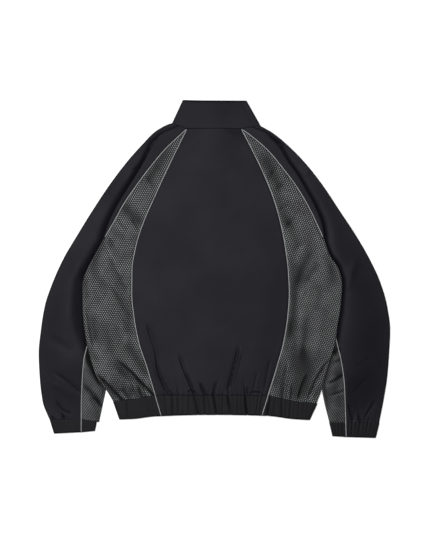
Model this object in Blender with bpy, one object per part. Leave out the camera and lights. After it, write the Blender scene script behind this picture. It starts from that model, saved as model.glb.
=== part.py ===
"""A track jacket laid flat with its back up: a raglan shell with net side and underarm panels.

Metres, +Z up. The tables and sizes below are in millimetres. The jacket lies on z = 0 with its collar
towards +Y and the wearer's left on -X. Side columns give distances outward from the middle plane.
"""
import math

import bmesh
import bpy
from mathutils import Vector

MM = 0.001
SIDES = {"left": -1.0, "right": 1.0}

# Walls and gaps
SHELL_WALL = 1.2
BAND_WALL = 2.2          # collar, hem band and cuffs: double cloth over elastic
SEAM_GAP = 0.3
LAY_GAP = 0.3            # between a piece and what it lies on
LEAN_GAP = 1.3           # more at a fold's end, where the walls of both pieces lean
LEAN_REACH = 14.0
HEM_GAP = 0.25           # more along the hem seam, whose curve the panels follow in longer chords

# Heights of the layers that lie on each other
BODY_TOP = 5.0           # back panel over the fronts
SLEEVE_TOP = 6.3         # outer half of a sleeve
NECK_RISE = 2.4
NECK_RISE_FROM = 240.0   # the back starts to rise to the collar here
HEM_RISE = 2.6
HEM_RISE_FROM = -200.0
HEM_RISE_SPAN = 90.0
WRIST_RISE = 0.6
WRIST_RISE_FROM = -280.0
WRIST_RISE_SPAN = 60.0
BAND_TOP = 7.8           # hem band and collar
CUFF_TOP = 7.0
LAP_REACH = 50.0         # how far in from the raglan the body starts to rise over the sleeve
LAP_INSET = 4.0          # and how far inside the sleeve's inner edge it has risen
SLEEVE_RISE = 36.0       # breadth over which a sleeve rises from its seam
SLEEVE_CLEAR = 9.0       # it starts this far outside the body's folded side
CREASE_HALF = 13.0       # half breadth of the long crease down a sleeve

CREASE_FADE = 30.0       # the soft creases of the back end over this distance above the hem

# Stations down the body, from the collar seam to the hem seam
NECK_Y = 322.0
ARMPIT_Y = 70.0
HEM_Y = -289.5
HEM_BOTTOM_Y = -337.0
ROW_BEND_FROM = -170.0   # rows below this bend towards the hem seam
FRONT_DROP_FROM = 190.0  # rows of the fronts above this bend down to the front neck
SIDE_END_Y = -304.0      # lower end of the body's folded side
SLEEVE_END_Y = -320.0    # lower end of the stretch where the body lies on a sleeve
NET_TIP_Y = 317.0        # where the side panel's point is wide enough to cut
UPPER_ROWS = 9
LAP_ROWS = (57.0, 40.0)  # the side starts to fold under here
ARMPIT_EASE = 3.0        # that first row stands off the front by this much more
PIPING_TIP_Y = 313.0     # the raglan piping starts clear of the back's
LOWER_ROWS = 12
SLEEVE_ROWS = 13
BACK_COLUMNS = 14
FRONT_COLUMNS = 5
FOLD_STEPS = 4


def table(columns, *rows):
    """Rows of numbers under named columns; the first column is the place along the line."""
    return {name: [float(row[index]) for row in rows] for index, name in enumerate(columns.split())}


BACK_SEAM = table(
    "y left right",
    (322, 64, 60),
    (274, 88, 85),
    (218, 115, 112),
    (163, 140, 134),
    (108, 164, 150),
    (53, 181.5, 161),
    (-2, 190.5, 168),
    (-57, 191, 170.5),
    (-113, 185.5, 166.5),
    (-168, 175, 157.5),
    (-223, 157, 142.5),
    (-290, 137, 121.5),
    (-340, 122.5, 106.5),
)
RAGLAN = table(
    "y left right",
    (322, 64.5, 60.5),
    (301, 87.5, 89),
    (274, 115.5, 120),
    (232, 150.5, 155.5),
    (191, 181, 186),
    (150, 209, 211),
    (108, 232.5, 232),
    (70, 254, 249),
)
BODY_SIDE = table(
    "y left right",
    (70, 255, 250),
    (35, 275, 262),
    (0, 293.5, 284),
    (-35, 304.5, 292),
    (-90, 304, 288),
    (-130, 300.7, 281.5),
    (-165, 295.5, 277),
    (-215, 283, 262),
    (-250, 271, 252.5),
    (-280, 248.5, 244),
    (-304, 234.5, 235.5),
)
FRONT_SEAM = table(
    "y left right",
    (57, 230, 224),
    (40, 215, 208),
    (15, 205, 199),
    (-30, 196, 192),
    (-140, 190, 186),
    (-310, 190, 186),
)
SLEEVE_OUTER = table(
    "y left right",
    (336, 98, 96),
    (329, 115, 104.5),
    (315, 138, 129),
    (287, 166, 164),
    (246, 202.5, 205),
    (191, 244, 248.5),
    (136, 280.5, 285),
    (80, 315, 322),
    (25, 347.5, 354),
    (-30, 372.5, 379.5),
    (-85, 391, 395.5),
    (-140, 400, 402.5),
    (-195, 405, 400),
    (-250, 402.5, 395.5),
    (-306, 395.5, 386.5),
    (-346, 380, 378.5),
)
SLEEVE_INNER = table(
    "y left right",
    (70, 254, 249),
    (55, 254, 248),
    (0, 250.5, 245),
    (-70, 244, 240),
    (-140, 241.5, 238),
    (-210, 244, 240),
    (-276, 250.5, 245.5),
    (-306, 256.5, 251),
    (-350, 266, 262),
)
SLEEVE_SEAM = table(
    "y left right",
    (70, 254, 249),
    (20, 262, 257),
    (-50, 272, 264),
    (-120, 284, 272),
    (-170, 292, 280),
    (-210, 301, 289),
    (-265, 305, 296.5),
    (-320, 307, 299),
    (-392, 307, 301),
)
# The long crease down each sleeve, from the shoulder past the armpit, and how deep it is
SLEEVE_CREASE = table(
    "y left right depth",
    (322, 82, 80, 0.4),
    (300, 131, 133, 1.4),
    (246, 167, 169, 2.2),
    (202, 192.5, 203, 2.2),
    (158, 221.5, 228, 2.2),
    (100, 250, 251.5, 2.4),
    (60, 268, 256, 1.2),
    (5, 300, 283, 0.4),
    (-60, 322, 312, 0.0),
    (-200, 325, 315, 0.0),
    (-350, 325, 320, 0.0),
)
# Stack of layers beside the armpit and below it: top of the body's side, underside of the part
# of it that folds under, and top of the sleeve beneath
LAP = table(
    "y top under sleeve",
    (160, 5.0, 0.0, 5.0),
    (110, 5.6, 0.0, 5.6),
    (70, 6.4, 3.0, 6.4),
    (57, 9.2, 5.3, 4.2),
    (40, 10.2, 5.7, 3.9),
    (-250, 10.2, 5.7, 3.9),
    (-268, 9.2, 5.7, 3.9),
    (-283, 7.0, 3.6, 3.9),
    (-300, 5.0, 0.0, 4.6),
    (-320, 5.0, 0.0, 5.6),
)
HEM_LINE = table(
    "x top bottom",
    (-236, -303.5, -346),
    (-190, -298.5, -344.5),
    (-137, -289.5, -338.5),
    (0, -289.5, -335),
    (122, -290.5, -337.5),
    (178, -302, -344.5),
    (238, -308.5, -348),
)
HEM_CORNERS = table(
    "part left right",
    (0, 234.5, 235.5),
    (1, 220, 218),
)
COLLAR_SEAM = table(
    "x back",
    (-98, 336),
    (-80, 328),
    (-62, 322.5),
    (0, 322.5),
    (60, 322),
    (80, 325),
    (104, 330),
)
COLLAR_TOP = table(
    "x back",
    (-74, 388),
    (-50, 387.2),
    (0, 386.3),
    (72.5, 386.5),
)
COLLAR_CORNERS = table(
    "part left right",
    (0, 98, 104),
    (1, 74, 72.5),
)
FRONT_NECK_DROP = 55.0
CUFFS = {
    "left": table(
        "part outer outer_y seam seam_y inner inner_y",
        (0, 380, -345, 307, -344, 266, -349),
        (1, 370, -378, 307, -375, 275.5, -371.5),
    ),
    "right": table(
        "part outer outer_y seam seam_y inner inner_y",
        (0, 378, -353, 300, -352.5, 262, -351.5),
        (1, 369.5, -388, 301, -386, 269.5, -384),
    ),
}
# Soft creases of the back and side panels, as straight valleys from one end to the other
CREASES = table(
    "from_x from_y to_x to_y depth width",
    (-161, -143, -117, -262, 1.2, 14),
    (-84, -192, -62, -258, 1.0, 12),
    (51, -177, 27, -276, 1.2, 13),
    (124, -207, 115, -262, 0.9, 12),
    (-205, -232, -141, -287, 1.8, 14),
    (-268, -250, -210, -299, 1.6, 13),
    (251, -219, 213, -297, 1.8, 14),
    (-239, -46, -198, -99, 1.2, 16),
)

# Gathers on the side that shows
HEM_BACK_GATHERS = 22
HEM_SIDE_GATHERS = {"left": 8, "right": 10}
CUFF_GATHERS = {"outer": 6, "inner": 3}
GATHER_DEPTH = 1.1
GATHER_ENDS = 1.5        # level at both ends over the breadth of this share of a gather
GATHER_MID = 0.3         # deeper half way down a band by this share
CUFF_GATHER_SHARE = 0.9
STEPS_PER_GATHER = 4

# Piping
PIPING_WIDTH = 2.0
PIPING_HEIGHT = 1.1

# Front zip: hidden, plain
ZIP_SLOT_HALF = 4.5
BAND_CLIMB = 16.0        # the zip climbs onto a band over this length
COLLAR_CLIMB_FROM = 24.0  # starting this far below the collar
HEM_CLIMB_FROM = 22.0    # and this far above the hem band
ZIP_HEM_ROWS = (6.0, 14.0)
ZIP_ROWS = 12
ZIP_END_INSET = (1.0, 2.0)  # short of the hem's edge and of the collar's
CHAIN_HALF = 2.8
CHAIN_THICK = 2.4
TAPE_EDGE = 3.1
TAPE_WIDTH = 14.0
TAPE_THICK = 1.0
SLIDER_Y = 316.0
SLIDER_LIFT = 2.0
BUMP_SHARE = 1.15        # of the lift, how much shows on the back
LIFT_BELOW = (60.0, 26.0)  # below the slider's middle: where the lift starts, and how long it grows
LIFT_ABOVE = (22.0, 14.0)  # the same above it
LIFT_HALF = (46.0, 34.0)   # the same outward
SLIDER_HALF = 3.9
SLIDER_LENGTH = 9.6
PLATE_THICK = 1.0
BRIDGE_HALF = 1.3
BRIDGE_LENGTH = 2.2
PULL_HALF = 2.9
PULL_LENGTH = 25.0
PULL_THICK = 1.0
PULL_WINDOW_HALF = 1.1
PULL_WINDOW_END = 3.3
BAR_HALF = 0.45
BAIL_HALF = 0.7
BAIL_THICK = 0.7
BAIL_ROOM = 1.6
BAIL_LEG = (1.6, 2.3)


def read(rows, column, at):
    """A table's column at any place along it, on a smooth line that doesn't overshoot its rows."""
    keys = rows[next(iter(rows))]
    values = rows[column]
    if keys[0] > keys[-1]:
        keys, values = keys[::-1], values[::-1]
    spans = [after - before for before, after in zip(keys, keys[1:])]
    slopes = [(after - before) / span for before, after, span in zip(values, values[1:], spans)]
    if at <= keys[0]:
        return values[0] + slopes[0] * (at - keys[0])
    if at >= keys[-1]:
        return values[-1] + slopes[-1] * (at - keys[-1])
    index = max(i for i, key in enumerate(keys) if key <= at)

    def tangent(i):
        if i == 0 or i == len(keys) - 1:
            return slopes[0] if i == 0 else slopes[-1]
        before, after = slopes[i - 1], slopes[i]
        if before * after <= 0:
            return 0.0
        weight_before = 2 * spans[i] + spans[i - 1]
        weight_after = spans[i] + 2 * spans[i - 1]
        return (weight_before + weight_after) / (weight_before / before + weight_after / after)

    span = spans[index]
    t = (at - keys[index]) / span
    return (
        values[index] * (1 + 2 * t) * (1 - t) ** 2
        + values[index + 1] * t * t * (3 - 2 * t)
        + span * t * (1 - t) * ((1 - t) * tangent(index) - t * tangent(index + 1))
    )


def smooth(t):
    t = min(1.0, max(0.0, t))
    return t * t * (3 - 2 * t)


def between(start, end, steps):
    """Evenly spaced values, both ends in."""
    return [start + (end - start) * i / steps for i in range(steps + 1)]


def mix(a, b, t):
    return a + (b - a) * t


# ---- rows and seams in plan -------------------------------------------------------------------------

def row_y(station, x):
    """A station's line across the body: straight higher up, parallel to the hem seam at the hem."""
    bend = smooth((ROW_BEND_FROM - station) / (ROW_BEND_FROM - HEM_Y))
    return station + bend * (read(HEM_LINE, "top", x) - HEM_Y)


def seam_point(rows, side, y, shift=0.0):
    """A point of a seam, moved outward from it by shift, as distance outward and y."""
    x = read(rows, side, y)
    slope = (read(rows, side, y + 1) - read(rows, side, y - 1)) / 2
    length = math.hypot(1, slope)
    return x + shift / length, y - shift * slope / length


def upper_rows():
    """Stations from the neck to the armpit, one of them at the net's point."""
    evenly = between(NECK_Y, ARMPIT_Y, UPPER_ROWS)
    return [evenly[0], NET_TIP_Y] + evenly[1:]


def body_rows():
    """Stations of the back, side and front panels."""
    return upper_rows() + list(LAP_ROWS[:-1]) + between(LAP_ROWS[-1], HEM_Y, LOWER_ROWS)


def sleeve_rows(side):
    """Stations of a sleeve along its seam; they are the body's above the armpit."""
    end = CUFFS[side]["seam_y"][0] + SEAM_GAP / 2
    return upper_rows() + list(LAP_ROWS[:-1]) + between(LAP_ROWS[-1], end, SLEEVE_ROWS)


# ---- heights ----------------------------------------------------------------------------------------

def crease_depth(x, y):
    """How deep the soft creases are at a point of the back."""
    depth = 0.0
    for index, width in enumerate(CREASES["width"]):
        start = Vector((CREASES["from_x"][index], CREASES["from_y"][index]))
        end = Vector((CREASES["to_x"][index], CREASES["to_y"][index]))
        along = end - start
        t = (Vector((x, y)) - start).dot(along) / along.length_squared
        nearest = start + along * min(1.0, max(0.0, t))
        distance = (Vector((x, y)) - nearest).length
        depth = max(depth, CREASES["depth"][index] * math.exp(-((distance / width) ** 2)))
    return depth


def slider_bump(x, y):
    """The small rise of the back over the zip's slider."""
    return BUMP_SHARE * zip_lift(abs(x), y)


def side_rise(side, x, y):
    """0 on the flat of the body, 1 where its side lies on the sleeve."""
    if y > LAP_ROWS[0]:
        high = read(RAGLAN, side, y)
        low = high - LAP_REACH
    else:
        high = read(SLEEVE_INNER, side, y) - LAP_INSET
        low = read(FRONT_SEAM, side, y)
    return smooth((x - low) / (high - low))


def neck_rise(y):
    """How much the cloth rises towards the collar."""
    return NECK_RISE * smooth((y - NECK_RISE_FROM) / (NECK_Y - NECK_RISE_FROM))


def body_top(side, x, y):
    """Height of the back and side panels' outer face."""
    signed = SIDES[side] * x
    rise = neck_rise(y) + HEM_RISE * smooth((HEM_RISE_FROM - y) / HEM_RISE_SPAN)
    lap = (read(LAP, "top", y) - BODY_TOP) * side_rise(side, x, y)
    fade = smooth((y - read(HEM_LINE, "top", signed)) / CREASE_FADE)
    return BODY_TOP + rise + lap + slider_bump(signed, y) - fade * crease_depth(signed, y)


def body_under(side, x, y):
    """Height of the underside of the body's lower layer."""
    return max(0.0, read(LAP, "under", y)) * side_rise(side, x, y)


def sleeve_top(side, x, y):
    """Height of a sleeve's outer face on the side that shows."""
    if y > ARMPIT_Y:
        start = read(RAGLAN, side, y)
        base = body_top(side, start, y)
    else:
        folded = read(BODY_SIDE, side, max(y, SIDE_END_Y)) + SLEEVE_CLEAR
        start = max(folded, read(SLEEVE_INNER, side, y))
        base = read(LAP, "sleeve", max(y, SLEEVE_END_Y))
    rise = neck_rise(y) + WRIST_RISE * smooth((WRIST_RISE_FROM - y) / WRIST_RISE_SPAN)
    height = mix(base, SLEEVE_TOP + rise, smooth((x - start) / SLEEVE_RISE))
    crease = read(SLEEVE_CREASE, "depth", y)
    away = (x - read(SLEEVE_CREASE, side, y)) / CREASE_HALF
    return height - max(0.0, crease) * math.exp(-away * away)


# ---- building ---------------------------------------------------------------------------------------

def material(name, colour, roughness, metallic=0.0):
    made = bpy.data.materials.new(name)
    made.use_nodes = True
    shader = made.node_tree.nodes["Principled BSDF"]
    shader.inputs["Base Color"].default_value = (*colour, 1.0)
    shader.inputs["Roughness"].default_value = roughness
    shader.inputs["Metallic"].default_value = metallic
    return made


def add_object(name, mesh, finish):
    data = bpy.data.meshes.new(name)
    mesh.to_mesh(data)
    mesh.free()
    data.materials.append(finish)
    made = bpy.data.objects.new(name, data)
    bpy.context.scene.collection.objects.link(made)
    return made


def wall(name, rows, thickness, finish, towards_right):
    """A closed wall of cloth under a grid of points on its outer face.

    Rows run towards the hem or the cuff. A None leaves the faces round it out.
    """
    mesh = bmesh.new()
    grid = [[mesh.verts.new(Vector(point) * MM) if point else None for point in row] for row in rows]
    for upper, lower in zip(grid, grid[1:]):
        for index in range(len(upper) - 1):
            corners = [upper[index], upper[index + 1], lower[index + 1], lower[index]]
            if None not in corners:
                mesh.faces.new(corners[::-1] if towards_right else corners)
    made = add_object(name, mesh, finish)
    made.data.shade_smooth()
    made.data.set_sharp_from_angle(angle=math.radians(50))
    solidify = made.modifiers.new("Cloth", "SOLIDIFY")
    solidify.thickness = thickness * MM
    solidify.offset = -1.0
    solidify.use_even_offset = True
    solidify.use_quality_normals = True
    return made


def fold(sign, edge, y, top, under):
    """Points of a round fold from the upper layer to the lower one, its ends left out."""
    radius = (top - under) / 2
    points = []
    for index in range(1, FOLD_STEPS):
        angle = math.pi * index / FOLD_STEPS
        x = edge - radius + radius * math.sin(angle)
        points.append((sign * x, y, under + radius + radius * math.cos(angle)))
    return points


def cells(name, xs, ys, zs, filled, finish):
    """A closed blocky body: the filled cells of a small lattice, as one skin."""
    mesh = bmesh.new()
    verts = {}

    def corner(i, j, k):
        if (i, j, k) not in verts:
            verts[i, j, k] = mesh.verts.new(Vector((xs[i], ys[j], zs[k])) * MM)
        return verts[i, j, k]

    faces = {
        (1, 0, 0): ((1, 0, 0), (1, 1, 0), (1, 1, 1), (1, 0, 1)),
        (-1, 0, 0): ((0, 0, 0), (0, 0, 1), (0, 1, 1), (0, 1, 0)),
        (0, 1, 0): ((0, 1, 0), (0, 1, 1), (1, 1, 1), (1, 1, 0)),
        (0, -1, 0): ((0, 0, 0), (1, 0, 0), (1, 0, 1), (0, 0, 1)),
        (0, 0, 1): ((0, 0, 1), (1, 0, 1), (1, 1, 1), (0, 1, 1)),
        (0, 0, -1): ((0, 0, 0), (0, 1, 0), (1, 1, 0), (1, 0, 0)),
    }
    for cell in filled:
        for step, corners in faces.items():
            if tuple(a + b for a, b in zip(cell, step)) not in filled:
                mesh.faces.new([corner(*(a + b for a, b in zip(cell, c))) for c in corners])
    return add_object(name, mesh, finish)


# ---- body panels ------------------------------------------------------------------------------------

def back_panel(finish):
    """Centre back between the two side panels, from the collar seam to the hem seam."""
    rows = []
    for station in body_rows():
        gap = -SEAM_GAP / 2 if station == NECK_Y else SEAM_GAP / 2 if station == HEM_Y else 0.0
        ends = {}
        for side, sign in SIDES.items():
            y = row_y(station, sign * read(BACK_SEAM, side, station))
            x, y = seam_point(BACK_SEAM, side, y, -SEAM_GAP / 2)
            ends[side] = sign * x
        row = []
        for x in between(ends["left"], ends["right"], BACK_COLUMNS):
            y = row_y(station, x) + gap
            row.append((x, y, body_top("left" if x < 0 else "right", abs(x), y)))
        rows.append(row)
    wall("back_panel", rows, SHELL_WALL, finish, True)


def side_net(side, finish):
    """Side panel: a point at the neck, wide at the armpit, then round the side to the front seam."""
    sign = SIDES[side]
    top_steps, lap_steps, drop_steps = 6, 2, 5
    rows = []
    for station in body_rows()[1:]:
        gap = SEAM_GAP / 2 if station == HEM_Y else 0.0
        y = row_y(station, sign * read(BACK_SEAM, side, station))
        inner, inner_y = seam_point(BACK_SEAM, side, y, SEAM_GAP / 2)
        row = []
        if station >= ARMPIT_Y:
            outer, outer_y = seam_point(RAGLAN, side, station, -SEAM_GAP / 2)
            for t in between(0, 1, top_steps):
                x, y = mix(inner, outer, t), mix(inner_y, outer_y, t)
                row.append((sign * x, y, body_top(side, x, y)))
            row += [None] * (FOLD_STEPS + lap_steps + drop_steps)
        else:
            y = row_y(station, sign * read(BODY_SIDE, side, station))
            edge = read(BODY_SIDE, side, y)
            top, under = body_top(side, edge, y), body_under(side, edge, y)
            turn = edge - (top - under) / 2
            for x in between(inner, turn, top_steps):
                y = row_y(station, sign * x) + gap
                row.append((sign * x, y, body_top(side, x, y) if x < turn else top))
            y = row_y(station, sign * edge) + gap
            row += fold(sign, edge, y, top, under)
            lap_end = min(read(SLEEVE_INNER, side, y), turn) - LAP_INSET
            seam = front_seam(side, station) + SEAM_GAP / 2
            if station == LAP_ROWS[0]:
                seam += ARMPIT_EASE
            for x in between(turn, lap_end, lap_steps) + between(lap_end, seam, drop_steps)[1:]:
                y = row_y(station, sign * x) + gap
                lift = under if x == turn else body_under(side, x, y)
                row.append((sign * x, y, lift if x > seam else 0.0))
        rows.append(row)
    wall(f"side_net_{side}", rows, SHELL_WALL, finish, sign > 0)


def front_seam(side, station):
    """Where a side panel meets the front, as distance outward."""
    return read(FRONT_SEAM, side, row_y(station, SIDES[side] * FRONT_SEAM[side][-1]))


def front_panel(side, finish):
    """One front, face down on the floor, from the zip to the raglan and the side panel."""
    sign = SIDES[side]
    rows = []
    for station in body_rows():
        gap = -SEAM_GAP / 2 if station == NECK_Y else SEAM_GAP / 2 if station == HEM_Y else 0.0
        if station >= ARMPIT_Y:
            outer = seam_point(RAGLAN, side, station, -SEAM_GAP / 2)[0]
        else:
            outer = front_seam(side, station) - SEAM_GAP / 2
        row = []
        drop = smooth((station - FRONT_DROP_FROM) / (NECK_Y - FRONT_DROP_FROM))
        for x in between(ZIP_SLOT_HALF, outer, FRONT_COLUMNS):
            y = row_y(station, sign * x) - drop * neck_drop(side, x) + gap
            row.append((sign * x, y, zip_lift(x, y)))
        rows.append(row)
    wall(f"front_panel_{side}", rows, SHELL_WALL, finish, sign < 0)


def neck_drop(side, x):
    """How much lower the front neckline is than the back one."""
    return FRONT_NECK_DROP * max(0.0, 1 - (x / read(RAGLAN, side, NECK_Y)) ** 2)


# ---- sleeves ----------------------------------------------------------------------------------------

def neck_line(side, x):
    """Neck edge of a sleeve. It stands off the collar more towards the fold, where both walls lean."""
    low, high = read(RAGLAN, side, NECK_Y), read(COLLAR_CORNERS, side, 0)
    lean = LEAN_GAP * smooth((x - low) / (high - low))
    return read(COLLAR_SEAM, "back", SIDES[side] * x) - SEAM_GAP / 2 - lean


def sleeve(side, finish):
    """Raglan sleeve: from its back seam round the outer edge to its front seam, which lies below it."""
    sign = SIDES[side]
    inner_steps, outer_steps, floor_steps = 3, 5, 3
    stations = sleeve_rows(side)
    cuff = CUFFS[side]
    tilt = read(COLLAR_SEAM, "back", sign * read(COLLAR_CORNERS, side, 0)) - NECK_Y
    rows = []
    for station in stations:
        seam_table = RAGLAN if station >= ARMPIT_Y else SLEEVE_SEAM
        seam, seam_y = seam_point(seam_table, side, station, SEAM_GAP / 2)
        last = station == stations[-1]
        outer_y = cuff["outer_y"][0] + SEAM_GAP / 2 if last else station + tilt * smooth(
            (station - NECK_RISE_FROM) / (NECK_Y - NECK_RISE_FROM)
        )
        if station == NECK_Y:
            outer_y = neck_line(side, read(COLLAR_CORNERS, side, 0))
        edge = read(COLLAR_CORNERS, side, 0) if station == NECK_Y else read(SLEEVE_OUTER, side, outer_y)
        crease = read(SLEEVE_CREASE, side, station)

        def line_y(x):
            if station == NECK_Y:
                return neck_line(side, x)
            return mix(seam_y, outer_y, (x - seam) / (edge - seam))

        top = sleeve_top(side, edge, outer_y)
        turn = edge - top / 2
        row = []
        for x in between(seam, crease, inner_steps) + between(crease, turn, outer_steps)[1:]:
            y = line_y(x)
            row.append((sign * x, y, sleeve_top(side, x, y) if x < turn else top))
        row += fold(sign, edge, outer_y, top, 0.0)
        for x in between(turn, seam, floor_steps):
            row.append((sign * x, line_y(x), 0.0))
        rows.append(row)
    wall(f"sleeve_{side}", rows, SHELL_WALL, finish, sign > 0)


def underarm_net(side, finish):
    """Underarm panel: from the sleeve's back seam round its inner edge to its front seam."""
    sign = SIDES[side]
    stations = [station for station in sleeve_rows(side) if station <= LAP_ROWS[-1]]
    cuff = CUFFS[side]
    rows = []
    for station in stations:
        seam, seam_y = seam_point(SLEEVE_SEAM, side, station, -SEAM_GAP / 2)
        last = station == stations[-1]
        inner_y = cuff["inner_y"][0] + SEAM_GAP / 2 if last else station
        edge = read(SLEEVE_INNER, side, inner_y)
        top = sleeve_top(side, edge, inner_y)
        turn = edge + top / 2
        row = []
        for x in between(seam, turn, 3):
            y = mix(seam_y, inner_y, (x - seam) / (edge - seam))
            row.append((sign * x, y, sleeve_top(side, x, y) if x > turn else top))
        row += [(-x, y, z) for x, y, z in fold(sign, -edge, inner_y, top, 0.0)]
        for x in between(turn, seam, 2):
            row.append((sign * x, mix(seam_y, inner_y, (x - seam) / (edge - seam)), 0.0))
        rows.append(row)
    wall(f"underarm_net_{side}", rows, SHELL_WALL, finish, sign < 0)


# ---- gathered bands ---------------------------------------------------------------------------------

def gather(t, count):
    """Height of the gathers along a section of band, level at both of its ends."""
    ends = smooth(min(t, 1 - t) * count * GATHER_ENDS)
    return GATHER_DEPTH * ends * math.cos(2 * math.pi * count * t)


def gather_strength(part):
    """The gathers are deepest half way down a band."""
    return 1 - GATHER_MID + GATHER_MID * math.sin(math.pi * part)


def hem_point(x, part, height):
    """A point of the hem band: part 0 is its seam, 1 its lower edge."""
    corner = read(HEM_CORNERS, "left" if x < 0 else "right", part)
    lean = LEAN_GAP * smooth((abs(x) - corner + LEAN_REACH) / LEAN_REACH)
    top = read(HEM_LINE, "top", x) - SEAM_GAP / 2 - HEM_GAP - lean
    return (x, mix(top, read(HEM_LINE, "bottom", x), part), height)


def hem_back(finish):
    """Centre back section of the hem band."""
    count = HEM_BACK_GATHERS
    rows = []
    for part in between(0, 1, 2):
        y = mix(HEM_Y, HEM_BOTTOM_Y, part)
        left = -(read(BACK_SEAM, "left", y) - SEAM_GAP / 2)
        right = read(BACK_SEAM, "right", y) - SEAM_GAP / 2
        row = []
        for t in between(0, 1, count * STEPS_PER_GATHER):
            height = BAND_TOP + gather_strength(part) * gather(t, count)
            row.append(hem_point(mix(left, right, t), part, height))
        rows.append(row)
    wall("hem_back", rows, BAND_WALL, finish, True)


def hem_side(side, finish):
    """Side section of the hem band, round the side and on to the zip."""
    sign = SIDES[side]
    count = HEM_SIDE_GATHERS[side]
    rows = []
    for part in between(0, 1, 2):
        seam = read(BACK_SEAM, side, mix(HEM_Y, HEM_BOTTOM_Y, part)) + SEAM_GAP / 2
        edge = read(HEM_CORNERS, side, part)
        turn = edge - BAND_TOP / 2
        row = []
        for t in between(0, 1, count * STEPS_PER_GATHER):
            height = BAND_TOP + gather_strength(part) * gather(t, count)
            row.append(hem_point(sign * mix(seam, turn, t), part, height))
        y = hem_point(sign * edge, part, 0.0)[1]
        row += fold(sign, edge, y, BAND_TOP, 0.0)
        seam = front_seam(side, HEM_Y)
        for x in between(turn, seam, 2) + between(seam, ZIP_SLOT_HALF, 5)[1:]:
            row.append(hem_point(sign * x, part, 0.0))
        rows.append(row)
    wall(f"hem_side_{side}", rows, BAND_WALL, finish, sign > 0)


def cuff_section(side, section, finish):
    """Outer or inner section of a cuff, from the back seam round its edge to the front seam."""
    sign = SIDES[side]
    cuff = CUFFS[side]
    count = CUFF_GATHERS[section]
    way = 1.0 if section == "outer" else -1.0
    rows = []
    for part in between(0, 1, 2):
        shift = -SEAM_GAP / 2 if part == 0 else 0.0
        seam = read(cuff, "seam", part) + way * SEAM_GAP / 2
        seam_y = read(cuff, "seam_y", part) + shift
        edge = read(cuff, section, part)
        edge_y = read(cuff, section + "_y", part) + shift * (1 + LEAN_GAP / SEAM_GAP)
        turn = edge - way * CUFF_TOP / 2
        row = []
        for t in between(0, 1, count * STEPS_PER_GATHER):
            x = mix(seam, turn, t)
            y = mix(seam_y, edge_y, (x - seam) / (edge - seam))
            row.append((sign * x, y, CUFF_TOP + CUFF_GATHER_SHARE * gather(t, count)))
        row += [(way * x, y, z) for x, y, z in fold(sign, way * edge, edge_y, CUFF_TOP, 0.0)]
        for x in between(turn, seam, 3):
            row.append((sign * x, mix(seam_y, edge_y, (x - seam) / (edge - seam)), 0.0))
        rows.append(row)
    wall(f"cuff_{section}_{side}", rows, BAND_WALL, finish, sign * way > 0)


# ---- collar -----------------------------------------------------------------------------------------

def collar_point(side, share, part, layer, height):
    """A point of the collar. share runs 0 at the middle to 1 at the folded side."""
    sign = SIDES[side]
    base_x = share * read(COLLAR_CORNERS, side, 0)
    top_x = share * read(COLLAR_CORNERS, side, 1)
    base_y = read(COLLAR_SEAM, "back", sign * base_x) + SEAM_GAP / 2
    top_y = read(COLLAR_TOP, "back", sign * top_x)
    if layer == "front":
        base_y -= neck_drop(side, base_x)
        top_y -= neck_drop(side, share * read(RAGLAN, side, NECK_Y))
    return (sign * mix(base_x, top_x, part), mix(base_y, top_y, part), height)


def collar_half(side, part):
    """Half of one line round the collar, from the middle of the back to the zip."""
    base_edge = read(COLLAR_CORNERS, side, 0)
    edge = mix(base_edge, read(COLLAR_CORNERS, side, 1), part)
    turn = base_edge * (1 - BAND_TOP / 2 / edge)
    seam = read(RAGLAN, side, NECK_Y)
    slot = base_edge * ZIP_SLOT_HALF / edge
    points = []
    for base_x in between(0, seam, 4) + between(seam, turn, 4)[1:]:
        x, y, _ = collar_point(side, base_x / base_edge, part, "back", 0.0)
        points.append((x, y, BAND_TOP + slider_bump(x, y)))
    y = collar_point(side, 1.0, part, "back", 0.0)[1]
    points += fold(SIDES[side], edge, y, points[-1][2], 0.0)
    for base_x in between(turn, seam, 3) + between(seam, slot, 5)[1:]:
        x, y, _ = collar_point(side, base_x / base_edge, part, "front", 0.0)
        points.append((x, y, zip_lift(abs(x), y)))
    return points


def collar(finish):
    """Stand collar, open at the zip, round both sides and over the back."""
    rows = []
    for part in between(1, 0, 3):
        left, right = collar_half("left", part), collar_half("right", part)
        rows.append(left[:0:-1] + right)
    wall("collar", rows, BAND_WALL, finish, True)


# ---- zip --------------------------------------------------------------------------------------------

def zip_lift(x, y):
    """How far the slider and its pull tab lift the front from the floor."""
    below = smooth((y - SLIDER_Y + LIFT_BELOW[0]) / LIFT_BELOW[1])
    above = smooth((SLIDER_Y + LIFT_ABOVE[0] - y) / LIFT_ABOVE[1])
    return SLIDER_LIFT * below * above * smooth((LIFT_HALF[0] - x) / LIFT_HALF[1])


def zip_middle(y):
    """Height of the middle of the tapes and the chain above the floor."""
    low_collar = read(COLLAR_SEAM, "back", 0.0) - FRONT_NECK_DROP
    over_collar = smooth((y - low_collar + COLLAR_CLIMB_FROM) / BAND_CLIMB)
    over_hem = smooth((HEM_Y + HEM_CLIMB_FROM - y) / BAND_CLIMB)
    return SHELL_WALL + LAY_GAP + TAPE_THICK / 2 + max(over_collar, over_hem) + zip_lift(0.0, y)


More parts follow.
